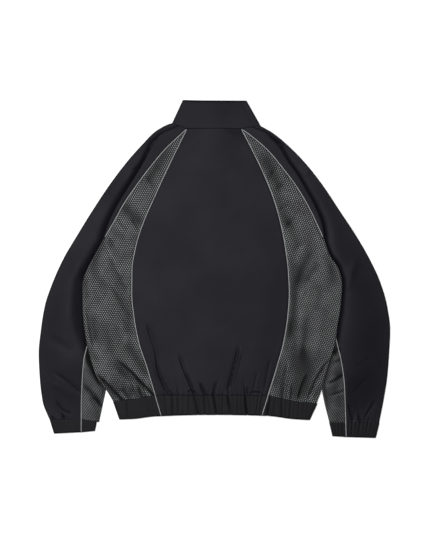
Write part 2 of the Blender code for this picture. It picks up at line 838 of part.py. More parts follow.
def zip_strip(name, inner, outer, start, end, thickness, finish):
    """A flat strip along the zip, made of its four long edges."""
    mesh = bmesh.new()
    sections = []
    low_collar = read(COLLAR_SEAM, "back", 0.0) - FRONT_NECK_DROP
    stations = [start] + [HEM_Y + y for y in (*ZIP_HEM_ROWS, HEM_CLIMB_FROM)]
    stations += between(low_collar - COLLAR_CLIMB_FROM - 4, end, ZIP_ROWS)
    for y in stations:
        low, high = zip_middle(y) - thickness / 2, zip_middle(y) + thickness / 2
        corners = ((inner, low), (outer, low), (outer, high), (inner, high))
        sections.append([mesh.verts.new(Vector((x, y, z)) * MM) for x, z in corners])
    for before, after in zip(sections, sections[1:]):
        for index in range(4):
            follow = (index + 1) % 4
            mesh.faces.new((before[index], after[index], after[follow], before[follow]))
    mesh.faces.new(sections[0])
    mesh.faces.new(sections[-1][::-1])
    bmesh.ops.recalc_face_normals(mesh, faces=mesh.faces)
    return add_object(name, mesh, finish)


def front_zip(tape_finish, metal_finish):
    """Two tapes, the closed chain, the slider at its top and the slider's pull tab."""
    hem = read(HEM_LINE, "bottom", 0.0) + ZIP_END_INSET[0]
    collar_edge = read(COLLAR_TOP, "back", 0.0) - FRONT_NECK_DROP - ZIP_END_INSET[1]
    chain_end = SLIDER_Y + SLIDER_LENGTH / 2 - BRIDGE_LENGTH - 2 * LAY_GAP
    for side, sign in SIDES.items():
        inner, outer = sorted((sign * TAPE_EDGE, sign * (TAPE_EDGE + TAPE_WIDTH)))
        zip_strip(f"zip_tape_{side}", inner, outer, hem, collar_edge, TAPE_THICK, tape_finish)
    zip_strip("zip_chain", -CHAIN_HALF, CHAIN_HALF, hem, chain_end, CHAIN_THICK, metal_finish)
    slider(metal_finish)
    pull_tab(metal_finish)


def slider_levels():
    """Heights of the slider's faces from the bail's bar up to the top plate."""
    room = CHAIN_THICK / 2 + LAY_GAP
    plate = zip_middle(SLIDER_Y) - room - PLATE_THICK
    return (
        plate - BAIL_ROOM - BAIL_THICK,
        plate - BAIL_ROOM,
        plate,
        plate + PLATE_THICK,
        plate + PLATE_THICK + 2 * room,
        plate + 2 * PLATE_THICK + 2 * room,
    )


def slider(finish):
    """Two plates joined by a bridge beyond the chain's end, and a bail under the lower plate."""
    half = SLIDER_LENGTH / 2
    leg_in, leg_out = BAIL_LEG
    xs = (-SLIDER_HALF, -BRIDGE_HALF, -BAIL_HALF, BAIL_HALF, BRIDGE_HALF, SLIDER_HALF)
    along = (-half, -leg_out, -leg_in, leg_in, leg_out, half - BRIDGE_LENGTH, half)
    ys = tuple(SLIDER_Y + y for y in along)
    filled = set()
    for i in range(5):
        for j in range(6):
            filled |= {(i, j, 2), (i, j, 4)}
    filled |= {(i, 5, 3) for i in (1, 2, 3)}
    filled |= {(2, j, 0) for j in (1, 2, 3)}
    filled |= {(2, j, 1) for j in (1, 3)}
    cells("zip_slider", xs, ys, slider_levels(), filled, finish)


def pull_tab(finish):
    """A flat tab with a window at its head; the bar beyond the window turns in the slider's bail."""
    axis_z = slider_levels()[2] - BAIL_ROOM / 2
    xs = (-PULL_HALF, -PULL_WINDOW_HALF, PULL_WINDOW_HALF, PULL_HALF)
    ys = tuple(SLIDER_Y - y for y in (PULL_LENGTH, PULL_WINDOW_END, BAR_HALF, -BAR_HALF))
    zs = (axis_z - PULL_THICK / 2, axis_z + PULL_THICK / 2)
    filled = {(i, j, 0) for i in range(3) for j in range(3)} - {(1, 1, 0)}
    cells("zip_pull", xs, ys, zs, filled, finish)


# ---- piping -----------------------------------------------------------------------------------------

def piping(name, points, finish):
    """A low round-topped cord, laid on the seam that the points follow.

    Each point is x, y, the surface's height, and how much that height grows a unit to the right.
    """
    half = PIPING_WIDTH / 2
    profile = [(-half, 0.0), (-0.8 * half, 0.65), (0.0, 1.0), (0.8 * half, 0.65), (half, 0.0)]
    mesh = bmesh.new()
    sections = []
    for index, (x, y, z, slope) in enumerate(points):
        before, after = points[max(0, index - 1)], points[min(len(points) - 1, index + 1)]
        along = Vector((after[0] - before[0], after[1] - before[1], 0.0)).normalized()
        across = Vector((-along.y, along.x, 0.0))
        across.z = slope * across.x
        base = Vector((x, y, z + LAY_GAP))
        up = Vector((0, 0, PIPING_HEIGHT))
        sections.append([mesh.verts.new((base + across * a + up * b) * MM) for a, b in profile])
    count = len(profile)
    for before, after in zip(sections, sections[1:]):
        for index in range(count):
            follow = (index + 1) % count
            mesh.faces.new((before[index], before[follow], after[follow], after[index]))
    mesh.faces.new(sections[0][::-1])
    mesh.faces.new(sections[-1])
    bmesh.ops.recalc_face_normals(mesh, faces=mesh.faces)
    made = add_object(name, mesh, finish)
    made.data.shade_smooth()
    return made


def surface_point(height, side, x, y):
    """A point of a height function with its slope to the right."""
    sign = SIDES[side]
    slope = sign * (height(side, x + 1, y) - height(side, x - 1, y)) / 2
    return (sign * x, y, height(side, x, y), slope)


def pipings(side, finish):
    """The two lines of piping of a side panel and the one along the sleeve."""
    sign = SIDES[side]
    back = []
    for station in body_rows():
        y = row_y(station, sign * read(BACK_SEAM, side, station)) - (1 if station == NECK_Y else 0)
        back.append(surface_point(body_top, side, read(BACK_SEAM, side, y), y))
    for part in between(0.1, 1, 3):
        x = read(BACK_SEAM, side, mix(HEM_Y, HEM_BOTTOM_Y, part))
        y = hem_point(sign * x, part, 0.0)[1]
        back.append((sign * x, y, BAND_TOP, 0.0))
    piping(f"piping_back_{side}", back, finish)

    raglan = [station for station in upper_rows() if PIPING_TIP_Y > station > ARMPIT_Y]
    raglan = [PIPING_TIP_Y] + raglan + [ARMPIT_Y + 3]
    points = [surface_point(body_top, side, read(RAGLAN, side, y), y) for y in raglan]
    piping(f"piping_raglan_{side}", points, finish)

    stations = [station for station in sleeve_rows(side) if station <= LAP_ROWS[-1]]
    points = [surface_point(sleeve_top, side, read(SLEEVE_SEAM, side, y), y) for y in stations]
    cuff = CUFFS[side]
    for part in between(0.08, 1, 2):
        points.append((sign * read(cuff, "seam", part), read(cuff, "seam_y", part), CUFF_TOP, 0.0))
    piping(f"piping_sleeve_{side}", points, finish)


def main():
    for existing in list(bpy.data.objects):
        bpy.data.objects.remove(existing, do_unlink=True)
    shell = material("black_shell", (0.018, 0.018, 0.022), 0.62)
    net = material("grey_net", (0.07, 0.07, 0.075), 0.7)
    band = material("black_band", (0.02, 0.02, 0.023), 0.65)
    cord = material("silver_piping", (0.42, 0.43, 0.44), 0.35)
    tape = material("zip_tape", (0.012, 0.012, 0.014), 0.8)
    moulded = material("black_moulded", (0.015, 0.015, 0.016), 0.4)

    back_panel(shell)
    collar(band)
    hem_back(band)
    for side in SIDES:
        side_net(side, net)
        front_panel(side, shell)
        sleeve(side, shell)
        underarm_net(side, net)
        hem_side(side, band)
        cuff_section(side, "outer", band)
        cuff_section(side, "inner", band)
        pipings(side, cord)
    front_zip(tape, moulded)


main()
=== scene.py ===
import math

import bpy
import numpy as np
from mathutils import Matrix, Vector
from mathutils.bvhtree import BVHTree


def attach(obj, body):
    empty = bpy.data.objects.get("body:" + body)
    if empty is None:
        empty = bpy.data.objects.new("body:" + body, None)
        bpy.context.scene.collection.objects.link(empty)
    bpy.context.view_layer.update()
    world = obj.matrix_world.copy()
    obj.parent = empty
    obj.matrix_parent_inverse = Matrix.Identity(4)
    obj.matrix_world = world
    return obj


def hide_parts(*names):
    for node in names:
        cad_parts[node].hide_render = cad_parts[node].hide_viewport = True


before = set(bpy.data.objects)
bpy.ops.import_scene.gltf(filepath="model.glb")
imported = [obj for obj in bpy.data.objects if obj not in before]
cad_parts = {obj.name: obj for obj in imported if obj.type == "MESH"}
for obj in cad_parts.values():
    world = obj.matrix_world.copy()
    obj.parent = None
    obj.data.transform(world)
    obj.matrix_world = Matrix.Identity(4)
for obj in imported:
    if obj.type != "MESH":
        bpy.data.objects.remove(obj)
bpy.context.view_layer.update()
print("frame loaded,", len(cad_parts), "solids")

mm = 0.001
signs = {"left": -1.0, "right": 1.0}    # wearer's left lies at -X, the collar towards +Y

# camera straight above; a wide softbox overhead to the left, a weaker one to the right, two low at the sides
studio = {
    "cameraHeight": 3.0, "lens": 87.3, "sensor": 36.0,
    "softboxes": {"left": ((-0.75, 0.4, 4.2), 3.0, 215.0), "right": ((1.3, 0.4, 4.2), 1.2, 16.0),
                  "low_left": ((-2.4, 0.2, 1.6), 1.6, 3.0), "low_right": ((2.4, 0.2, 1.6), 1.6, 3.0)},
    "ambient": 0.22, "floorDrop": 0.4, "floorSize": 12.0,
}

scene = bpy.context.scene
scene.view_settings.view_transform = "Standard"

cameraData = bpy.data.cameras.new("camera")
cameraData.lens = studio["lens"]
cameraData.sensor_width = studio["sensor"]
cameraObject = bpy.data.objects.new("camera", cameraData)
cameraObject.location = (0.0, 0.0, studio["cameraHeight"])
scene.collection.objects.link(cameraObject)
scene.camera = cameraObject


def softLight(name, spot, size, power):
    data = bpy.data.lights.new(name, "AREA")
    data.shape = "SQUARE"
    data.size = size
    data.energy = power
    light = bpy.data.objects.new(name, data)
    light.location = spot
    light.rotation_euler = Vector(spot).to_track_quat("Z", "Y").to_euler()
    scene.collection.objects.link(light)


for name, (spot, size, power) in studio["softboxes"].items():
    softLight("softbox_" + name, spot, size, power)

world = bpy.data.worlds.new("studio")
world.use_nodes = True
world.node_tree.nodes["Background"].inputs["Color"].default_value = (1, 1, 1, 1)
world.node_tree.nodes["Background"].inputs["Strength"].default_value = studio["ambient"]
scene.world = world


def newGroup(name, inputs, outputs):
    # inputs come with their defaults: a number, a colour or, for a vector, None
    group = bpy.data.node_groups.new(name, "ShaderNodeTree")
    for label, value in inputs.items():
        kind = "Vector" if value is None else "Float" if isinstance(value, float) else "Color"
        socket = group.interface.new_socket(label, in_out="INPUT", socket_type="NodeSocket" + kind)
        if value is not None:
            socket.default_value = value
    for label in outputs:
        kind = "Color" if label == "Color" else "Float"
        group.interface.new_socket(label, in_out="OUTPUT", socket_type="NodeSocket" + kind)
    return group, group.nodes.new("NodeGroupInput").outputs, group.nodes.new("NodeGroupOutput").inputs


def wire(tree, target, value):
    # a socket is linked, anything else is set on the input
    if isinstance(value, bpy.types.NodeSocket):
        tree.links.new(value, target)
    else:
        target.default_value = value


def maths(tree, operation, first, second=None, third=None):
    node = tree.nodes.new("ShaderNodeMath")
    node.operation = operation
    for place, value in enumerate((first, second, third)):
        if value is not None:
            wire(tree, node.inputs[place], value)
    return node.outputs[0]


def blendColour(tree, factor, first, second):
    node = tree.nodes.new("ShaderNodeMix")
    node.data_type = "RGBA"
    wire(tree, node.inputs["Factor"], factor)
    wire(tree, node.inputs["A"], first)
    wire(tree, node.inputs["B"], second)
    return node.outputs["Result"]


def noise(tree, coord, scale, detail=2.0):
    node = tree.nodes.new("ShaderNodeTexNoise")
    wire(tree, node.inputs["Vector"], coord)
    wire(tree, node.inputs["Scale"], scale)
    node.inputs["Detail"].default_value = detail
    return node.outputs["Fac"]


def stretched(tree, value, low, high, toLow=0.0, toHigh=1.0):
    node = tree.nodes.new("ShaderNodeMapRange")
    node.interpolation_type = "SMOOTHSTEP"
    for place, number in enumerate((value, low, high, toLow, toHigh)):
        wire(tree, node.inputs[place], number)
    return node.outputs[0]


def splitAxes(tree, coord):
    node = tree.nodes.new("ShaderNodeSeparateXYZ")
    wire(tree, node.inputs[0], coord)
    return node.outputs


def weaveGroup():
    # over and under of a plain weave; Threads is how many there are in a metre
    group, given, out = newGroup("weave", {"Coord": None, "Threads": 2000.0, "Slub": 0.3}, ("Height", "Mask"))
    axes = splitAxes(group, given["Coord"])
    turns = maths(group, "MULTIPLY", given["Threads"], math.pi)
    across = maths(group, "SINE", maths(group, "MULTIPLY", axes[0], turns))
    along = maths(group, "SINE", maths(group, "MULTIPLY", axes[1], turns))
    cross = maths(group, "MULTIPLY", across, along)
    slub = noise(group, given["Coord"], maths(group, "MULTIPLY", given["Threads"], 0.12), 3.0)
    height = maths(group, "MULTIPLY_ADD", cross, 0.35, maths(group, "MULTIPLY", slub, given["Slub"]))
    wire(group, out["Height"], height)
    wire(group, out["Mask"], stretched(group, cross, -0.6, 0.6))
    return group


def toneGroup():
    # slow unevenness of dye and of how the cloth has been handled
    group, given, out = newGroup(
        "tone", {"Coord": None, "Base": (0.02, 0.02, 0.02, 1), "Lift": (0.03, 0.03, 0.03, 1), "Scale": 14.0,
                 "Amount": 0.5, "Rough": 0.6, "Rough Spread": 0.08}, ("Color", "Roughness", "Mask"))
    broad = noise(group, given["Coord"], given["Scale"], 2.0)
    fine = noise(group, given["Coord"], maths(group, "MULTIPLY", given["Scale"], 23.0), 3.0)
    both = maths(group, "MULTIPLY_ADD", fine, 0.35, maths(group, "MULTIPLY", broad, 0.65))
    mask = stretched(group, both, 0.3, 0.7)
    share = maths(group, "MULTIPLY", mask, given["Amount"])
    wire(group, out["Color"], blendColour(group, share, given["Base"], given["Lift"]))
    centred = maths(group, "SUBTRACT", mask, 0.5)
    wire(group, out["Roughness"],
         maths(group, "MULTIPLY_ADD", centred, given["Rough Spread"], given["Rough"]))
    wire(group, out["Mask"], mask)
    return group


def knitGroup():
    # staggered raised dots of a warp-knit net on its darker ground; all sizes are in metres
    group, given, out = newGroup(
        "knitDots", {"Coord": None, "Across": 0.005, "Along": 0.009, "Size": 0.0015, "Edge": 0.0004},
        ("Dots", "Height"))
    axes = splitAxes(group, given["Coord"])
    distances = []
    for shift in (1000.0, 1000.5):
        squares = []
        for axis, pitch in zip(axes, (given["Across"], given["Along"])):
            cell = maths(group, "FRACT", maths(group, "ADD", maths(group, "DIVIDE", axis, pitch), shift))
            part = maths(group, "MULTIPLY", maths(group, "SUBTRACT", cell, 0.5), pitch)
            squares.append(maths(group, "MULTIPLY", part, part))
        distances.append(maths(group, "SQRT", maths(group, "ADD", *squares)))
    nearest = maths(group, "MINIMUM", *distances)
    inner = maths(group, "SUBTRACT", given["Size"], given["Edge"])
    outer = maths(group, "ADD", given["Size"], given["Edge"])
    dots = stretched(group, nearest, inner, outer, 1.0, 0.0)
    grain = maths(group, "MULTIPLY", noise(group, given["Coord"], 2600.0, 1.0), 0.3)
    wire(group, out["Dots"], dots)
    wire(group, out["Height"], maths(group, "MULTIPLY_ADD", dots, 0.7, grain))
    return group


def twistGroup():
    # slanting strands of a twisted thread or a covered cord
    group, given, out = newGroup("twist", {"Coord": None, "Strands": 900.0, "Slant": 1.0}, ("Height",))
    axes = splitAxes(group, given["Coord"])
    lean = maths(group, "MULTIPLY_ADD", axes[1], given["Slant"], axes[0])
    turns = maths(group, "MULTIPLY", lean, maths(group, "MULTIPLY", given["Strands"], 2 * math.pi))
    wire(group, out["Height"], maths(group, "MULTIPLY_ADD", maths(group, "SINE", turns), 0.5, 0.5))
    return group


groups = {"weave": weaveGroup(), "tone": toneGroup(), "knit": knitGroup(), "twist": twistGroup()}


def newMaterial(name, coordKind="cut"):
    made = bpy.data.materials.new(name)
    made.use_nodes = True
    tree = made.node_tree
    if coordKind == "cut":
        source = tree.nodes.new("ShaderNodeUVMap")
        source.uv_map = "cut"
        coord = source.outputs["UV"]
    else:
        coord = tree.nodes.new("ShaderNodeTexCoord").outputs["Object"]
    return made, tree, tree.nodes["Principled BSDF"].inputs, coord


def place(tree, groupName, **values):
    node = tree.nodes.new("ShaderNodeGroup")
    node.node_tree = groups[groupName]
    for label, value in values.items():
        wire(tree, node.inputs[label.replace("_", " ")], value)
    return node.outputs


def bump(tree, inputs, height, look):
    node = tree.nodes.new("ShaderNodeBump")
    node.inputs["Strength"].default_value = look["bump"]
    node.inputs["Distance"].default_value = look["bumpDepth"]
    wire(tree, node.inputs["Height"], height)
    wire(tree, inputs["Normal"], node.outputs["Normal"])


def colour4(rgb):
    return (*rgb, 1.0)


def toneOf(tree, coord, look, low="colour", high="lift"):
    return place(tree, "tone", Coord=coord, Base=colour4(look[low]), Lift=colour4(look[high]),
                 Scale=look["mottle"], Amount=look["mottleAmount"], Rough=look["roughness"],
                 Rough_Spread=look["roughSpread"])


def wovenMaterial(name, look):
    made, tree, inputs, coord = newMaterial(name)
    tone = toneOf(tree, coord, look)
    weave = place(tree, "weave", Coord=coord, Threads=look["threads"], Slub=0.5)
    shade = maths(tree, "MULTIPLY_ADD", weave["Mask"], look["threadShade"], 1.0 - look["threadShade"])
    wire(tree, inputs["Base Color"], blendColour(tree, shade, colour4(look["dark"]), tone["Color"]))
    wire(tree, inputs["Roughness"], tone["Roughness"])
    inputs["Specular IOR Level"].default_value = look["specular"]
    inputs["Specular Tint"].default_value = colour4(look["tint"])
    inputs["Sheen Weight"].default_value = look["sheen"]
    inputs["Sheen Roughness"].default_value = 0.5
    bump(tree, inputs, weave["Height"], look)
    return made


wovenLooks = {
    "shell": {"colour": (0.0042, 0.0040, 0.0062), "lift": (0.0056, 0.0054, 0.0078),
              "dark": (0.002, 0.002, 0.0032), "mottle": 9.0, "mottleAmount": 0.35, "roughness": 0.4,
              "roughSpread": 0.1, "threads": 2600.0, "threadShade": 0.3, "specular": 0.061,
              "tint": (0.93, 0.91, 1.0), "sheen": 0.0, "bump": 0.2, "bumpDepth": 0.0002},
    "band": {"colour": (0.0042, 0.0042, 0.0050), "lift": (0.0056, 0.0056, 0.0064),
             "dark": (0.002, 0.002, 0.0024), "mottle": 14.0, "mottleAmount": 0.4, "roughness": 0.42,
             "roughSpread": 0.1, "threads": 2200.0, "threadShade": 0.35, "specular": 0.058,
             "tint": (0.96, 0.95, 1.0), "sheen": 0.0, "bump": 0.25, "bumpDepth": 0.0002},
    "tape": {"colour": (0.012, 0.012, 0.013), "lift": (0.017, 0.017, 0.018), "dark": (0.005, 0.005, 0.006),
             "mottle": 20.0, "mottleAmount": 0.4, "roughness": 0.8, "roughSpread": 0.1, "threads": 1400.0,
             "threadShade": 0.5, "specular": 0.25, "tint": (1.0, 1.0, 1.0), "sheen": 0.03, "bump": 0.5,
             "bumpDepth": 0.0002},
}

netLook = {"ground": (0.004, 0.004, 0.0045), "yarn": (0.158, 0.170, 0.169), "yarnLow": (0.063, 0.060, 0.066),
           "mottle": 14.0, "mottleAmount": 1.0, "roughness": 0.34, "roughSpread": 0.1, "groundRoughness": 0.7,
           "across": 0.0052, "along": 0.0086, "dotSize": 0.0014, "dotEdge": 0.0003, "gloss": 0.35,
           "specular": 0.08, "bump": 0.3, "bumpDepth": 0.0004, "foldShade": 1.0}


def netMaterial(look):
    made, tree, inputs, coord = newMaterial("net_knit")
    knit = place(tree, "knit", Coord=coord, Across=look["across"], Along=look["along"], Size=look["dotSize"],
                 Edge=look["dotEdge"])
    tone = toneOf(tree, coord, look, "yarnLow", "yarn")
    # painted shade and painted highlight: the per-point attribute darkens the knit's dots in folds, hollows
    # and the shadow beside the body's edge, and lightens the yarn where it is below 0
    folds = tree.nodes.new("ShaderNodeAttribute")
    folds.attribute_name = "paintedShading"
    paintedShadingFactor = maths(tree, "MULTIPLY_ADD", folds.outputs["Fac"], -look["foldShade"], 1.0)
    dots = maths(tree, "MULTIPLY", knit["Dots"], paintedShadingFactor)
    yarn = tree.nodes.new("ShaderNodeVectorMath")
    yarn.operation = "SCALE"
    wire(tree, yarn.inputs[0], tone["Color"])
    wire(tree, yarn.inputs["Scale"], maths(tree, "MAXIMUM", paintedShadingFactor, 1.0))
    colour = blendColour(tree, dots, colour4(look["ground"]), yarn.outputs["Vector"])
    wire(tree, inputs["Base Color"], colour)
    roughness = stretched(tree, knit["Dots"], 0.0, 1.0, look["groundRoughness"], tone["Roughness"])
    wire(tree, inputs["Roughness"], roughness)
    wire(tree, inputs["Metallic"], maths(tree, "MULTIPLY", knit["Dots"], look["gloss"]))
    inputs["Specular IOR Level"].default_value = look["specular"]
    bump(tree, inputs, knit["Height"], look)
    return made


threadLooks = {
    "piping": {"colour": (0.4, 0.405, 0.41), "low": (0.25, 0.255, 0.26), "mottle": 60.0, "mottleAmount": 1.0,
               "roughness": 0.4, "roughSpread": 0.1, "strands": 700.0, "slant": 1.0, "metallic": 0.2,
               "bump": 0.25, "bumpDepth": 0.0002},
    "stitch": {"colour": (0.02, 0.02, 0.022), "low": (0.006, 0.006, 0.007), "mottle": 60.0,
               "mottleAmount": 1.0, "roughness": 0.5, "roughSpread": 0.1, "strands": 1600.0, "slant": 0.7,
               "metallic": 0.0, "bump": 0.5, "bumpDepth": 0.0001},
}


def threadMaterial(name, look):
    made, tree, inputs, coord = newMaterial(name)
    twist = place(tree, "twist", Coord=coord, Strands=look["strands"], Slant=look["slant"])
    tone = toneOf(tree, coord, look, "low", "colour")
    shade = maths(tree, "MULTIPLY_ADD", twist["Height"], 0.5, 0.5)
    wire(tree, inputs["Base Color"], blendColour(tree, shade, colour4(look["low"]), tone["Color"]))
    wire(tree, inputs["Roughness"], tone["Roughness"])
    inputs["Metallic"].default_value = look["metallic"]
    bump(tree, inputs, twist["Height"], look)
    return made


smoothLooks = {
    "moulded": {"colour": (0.013, 0.013, 0.014), "lift": (0.022, 0.022, 0.023), "mottle": 120.0,
                "mottleAmount": 0.7, "roughness": 0.38, "roughSpread": 0.18, "specular": 0.5, "grain": 2500.0,
                "bump": 0.2, "bumpDepth": 0.00005},
    "floor": {"colour": (0.91605, 0.91605, 0.91605), "lift": (0.93, 0.93, 0.93), "mottle": 3.0,
              "mottleAmount": 1.0, "roughness": 0.85, "roughSpread": 0.05, "specular": 0.2},
}


def smoothMaterial(name, look):
    made, tree, inputs, coord = newMaterial(name, "object")
    tone = toneOf(tree, coord, look)
    wire(tree, inputs["Base Color"], tone["Color"])
    wire(tree, inputs["Roughness"], tone["Roughness"])
    inputs["Specular IOR Level"].default_value = look["specular"]
    if "grain" in look:
        bump(tree, inputs, noise(tree, coord, look["grain"]), look)
    return made


looks = {name: wovenMaterial(name + "_weave", look) for name, look in wovenLooks.items()}
looks["net"] = netMaterial(netLook)
looks["piping"] = threadMaterial("silver_piping_cord", threadLooks["piping"])
looks["stitch"] = threadMaterial("sewing_thread", threadLooks["stitch"])
looks["moulded"] = smoothMaterial("moulded_plastic", smoothLooks["moulded"])
print("materials made:", len(looks))

floorHalf = studio["floorSize"] / 2
floorMesh = bpy.data.meshes.new("floor")
corners = ((-1, -1), (1, -1), (1, 1), (-1, 1))
floorMesh.from_pydata([(x * floorHalf, y * floorHalf, 0) for x, y in corners], [], [(0, 1, 2, 3)])
floorMesh.materials.append(smoothMaterial("floor_paper", smoothLooks["floor"]))
floor = bpy.data.objects.new("floor", floorMesh)
floor.location.z = -studio["floorDrop"] * mm
scene.collection.objects.link(floor)


def table(columns, *rows):
    # the first column is the place along the line, and the others are read at it
    values = np.array(sorted(rows), float)
    return dict(zip(columns.split(), values.T))


outline = {
    "backSeam": table("y left right", (322, 64, 60), (274, 88, 85), (218, 115, 112), (163, 140, 134),
                      (108, 164, 150), (53, 181.5, 161), (-2, 190.5, 168), (-57, 191, 170.5),
                      (-113, 185.5, 166.5), (-168, 175, 157.5), (-223, 157, 142.5), (-290, 137, 121.5),
                      (-340, 122.5, 106.5)),
    "raglan": table("y left right", (322, 64.5, 60.5), (301, 87.5, 89), (274, 115.5, 120),
                    (232, 150.5, 155.5), (191, 181, 186), (150, 209, 211), (108, 232.5, 232), (70, 254, 249)),
    "bodySide": table("y left right", (70, 255, 250), (35, 275, 262), (0, 293.5, 284), (-35, 304.5, 292),
                      (-90, 304, 288), (-130, 300.7, 281.5), (-165, 295.5, 277), (-215, 283, 262),
                      (-250, 271, 252.5), (-280, 248.5, 244), (-304, 234.5, 235.5)),
    "frontSeam": table("y left right", (70, 252, 247), (57, 230, 224), (40, 215, 208), (15, 205, 199),
                       (-30, 196, 192), (-140, 190, 186), (-310, 190, 186)),
    "sleeveOuter": table("y left right", (336, 98, 96), (329, 115, 104.5), (315, 138, 129), (287, 166, 164),
                         (246, 202.5, 205), (191, 244, 248.5), (136, 280.5, 285), (80, 315, 322),
                         (25, 347.5, 354), (-30, 372.5, 379.5), (-85, 391, 395.5), (-140, 400, 402.5),
                         (-195, 405, 400), (-250, 402.5, 395.5), (-306, 395.5, 386.5), (-346, 380, 378.5)),
    "sleeveInner": table("y left right", (70, 254, 249), (55, 254, 248), (0, 250.5, 245), (-70, 244, 240),
                         (-140, 241.5, 238), (-210, 244, 240), (-276, 250.5, 245.5), (-306, 256.5, 251),
                         (-350, 266, 262)),
    "sleeveSeam": table("y left right", (70, 254, 249), (20, 262, 257), (-50, 272, 264), (-120, 284, 272),
                        (-170, 292, 280), (-210, 301, 289), (-265, 305, 296.5), (-320, 307, 299),
                        (-392, 307, 301)),
    # heights beside and below the armpit: body on top, the part of it folded under, sleeve beneath
    "lap": table("y top under sleeve", (160, 5.0, 0.0, 5.0), (110, 5.6, 0.0, 5.6), (76, 6.3, 4.6, 6.3),
                 (70, 6.9, 5.6, 6.0), (66, 7.8, 5.7, 5.2), (57, 9.2, 5.5, 4.2), (40, 10.2, 5.7, 3.9),
                 (-250, 10.2, 5.7, 3.9), (-268, 9.2, 5.7, 3.9), (-283, 7.0, 3.6, 3.9), (-300, 5.0, 0.0, 4.6),
                 (-320, 5.0, 0.0, 5.6)),
    "hemLine": table("x top bottom", (-236, -303.5, -346), (-190, -298.5, -344.5), (-137, -289.5, -338.5),
                     (0, -289.5, -335), (122, -290.5, -337.5), (178, -302, -344.5), (238, -308.5, -348)),
    "hemCorners": table("part left right", (0, 234.5, 235.5), (1, 220, 218)),
    "collarSeam": table("x back", (-98, 336), (-80, 328), (-62, 322.5), (0, 322.5), (60, 322), (80, 325),
                        (104, 330)),
    "collarTop": table("x back", (-74, 388), (-50, 387.2), (0, 386.3), (72.5, 386.5)),
    "collarCorners": table("part left right", (0, 98, 104), (1, 74, 72.5)),
    "cuffLeft": table("part outer outerY seam seamY inner innerY", (0, 380, -345, 307, -344, 271, -349),
                      (1, 370, -378, 307, -375, 275.5, -372)),
    "cuffRight": table("part outer outerY seam seamY inner innerY", (0, 378, -353, 300, -352.5, 262, -351.5),
                       (1, 369.5, -388, 301, -386, 269.5, -384)),
}

# heights, gaps and places shared by the pieces, in mm
form = {
    "bodyTop": 5.0, "sleeveTop": 6.3, "neckRise": 2.4, "hemRise": 2.6, "cuffRise": 0.6, "bandTop": 7.8,
    "cuffTop": 7.0, "neckY": 322.0, "armpitY": 70.0, "underarmTop": -170.0, "hemY": -289.5,
    "hemBottomY": -337.0, "sideEndY": -304.0, "sleeveEndY": -320.0, "frontNeckDrop": 55.0, "seamGap": 0.3,
    "leanGap": 0.6, "layerGap": 2.4, "hemGap": 0.25, "layGap": 0.3, "zipSlotHalf": 4.5, "lapInset": 4.0,
    "lapReach": 50.0, "shoulderRise": 0.8, "backPuff": 1.3, "backPuffSpan": 70.0, "sleevePuff": 5.6,
    "puffSpan": {"left": 64.0, "right": 96.0}, "puffRamp": {"left": 190.0, "right": 110.0},
    "puffLowY": -345.0, "creaseEven": {"left": 1.0, "right": 0.0}, "creaseFloor": 2.4, "creaseSteep": 2.2,
    "evenDepth": 5.0, "evenFall": 3.2, "evenScale": 5.007, "seamDip": 0.8, "seamDipWidth": 2.3,
    "bandDip": 0.35, "neckDip": 0.12, "gatherSpan": 62.0, "gatherInset": 3.5, "tuck": 1.6, "tuckLow": 2.0,
    "tuckHigh": 4.3, "foldSteps": 12, "edgeCurl": 0.5,
}

# places down the jacket between which something comes in smoothly, in mm
ramps = {
    "rowBend": (-170.0, -289.5), "neck": (240.0, 322.0), "hem": (-200.0, -290.0), "frontDrop": (190.0, 322.0),
    "frontHem": (-280.0, -250.0), "swell": (180.0, 280.0), "sideLap": (76.0, 50.0), "underLap": (76.0, 64.0),
    "backPuffTop": (310.0, 230.0), "backPuffHem": (-285.0, -225.0), "sleevePuffTop": (322.0, 262.0),
    "creaseTurn": (64.0, 56.0), "evenLow": (-190.0, -130.0), "evenHigh": (12.0, -28.0),
    "cuffRise": (-280.0, -340.0), "cuffTilt": (-250.0, -340.0), "netGathers": (-235.0, -260.0),
    "nearCollar": (300.0, 322.0), "collarCorner": (319.0, 322.0),
}


def smooth(t):
    t = np.clip(t, 0.0, 1.0)
    return t * t * (3 - 2 * t)


def ramp(name, y):
    start, end = ramps[name]
    return smooth((y - start) / (end - start))


def mix(a, b, t):
    return a + (b - a) * t


def readLine(name, column, at):
    # smooth line through a table's rows that doesn't overshoot them
    rows = outline[name]
    keys, values = next(iter(rows.values())), rows[column]
    spans = np.diff(keys)
    slopes = np.diff(values) / spans
    before, after = slopes[:-1], slopes[1:]
    weightBefore, weightAfter = 2 * spans[1:] + spans[:-1], spans[1:] + 2 * spans[:-1]
    same = before * after > 0
    turned = (weightBefore + weightAfter) / (weightBefore / np.where(same, before, 1.0)
                                             + weightAfter / np.where(same, after, 1.0))
    tangents = np.concatenate([slopes[:1], np.where(same, turned, 0.0), slopes[-1:]])
    at = np.asarray(at, float)
    index = np.clip(np.searchsorted(keys, at, side="right") - 1, 0, len(keys) - 2)
    span = spans[index]
    t = np.clip((at - keys[index]) / span, 0.0, 1.0)
    inside = (values[index] * (1 + 2 * t) * (1 - t) ** 2 + values[index + 1] * t * t * (3 - 2 * t)
              + span * t * (1 - t) * ((1 - t) * tangents[index] - t * tangents[index + 1]))
    return inside + np.minimum(at - keys[0], 0) * slopes[0] + np.maximum(at - keys[-1], 0) * slopes[-1]


def lineAt(name, column, at):
    return float(readLine(name, column, at))


def rowLine(station, x):
    # a row across the body bends to the hem seam as it comes near it
    return station + ramp("rowBend", station) * (readLine("hemLine", "top", x) - form["hemY"])


def seamPoint(name, side, y, shift):
    x = readLine(name, side, y)
    slope = (readLine(name, side, y + 1) - readLine(name, side, y - 1)) / 2
    length = math.hypot(1, slope)
    return float(x + shift / length), float(y - shift * slope / length)


def cuffOf(side):
    return outline["cuff" + side.capitalize()]


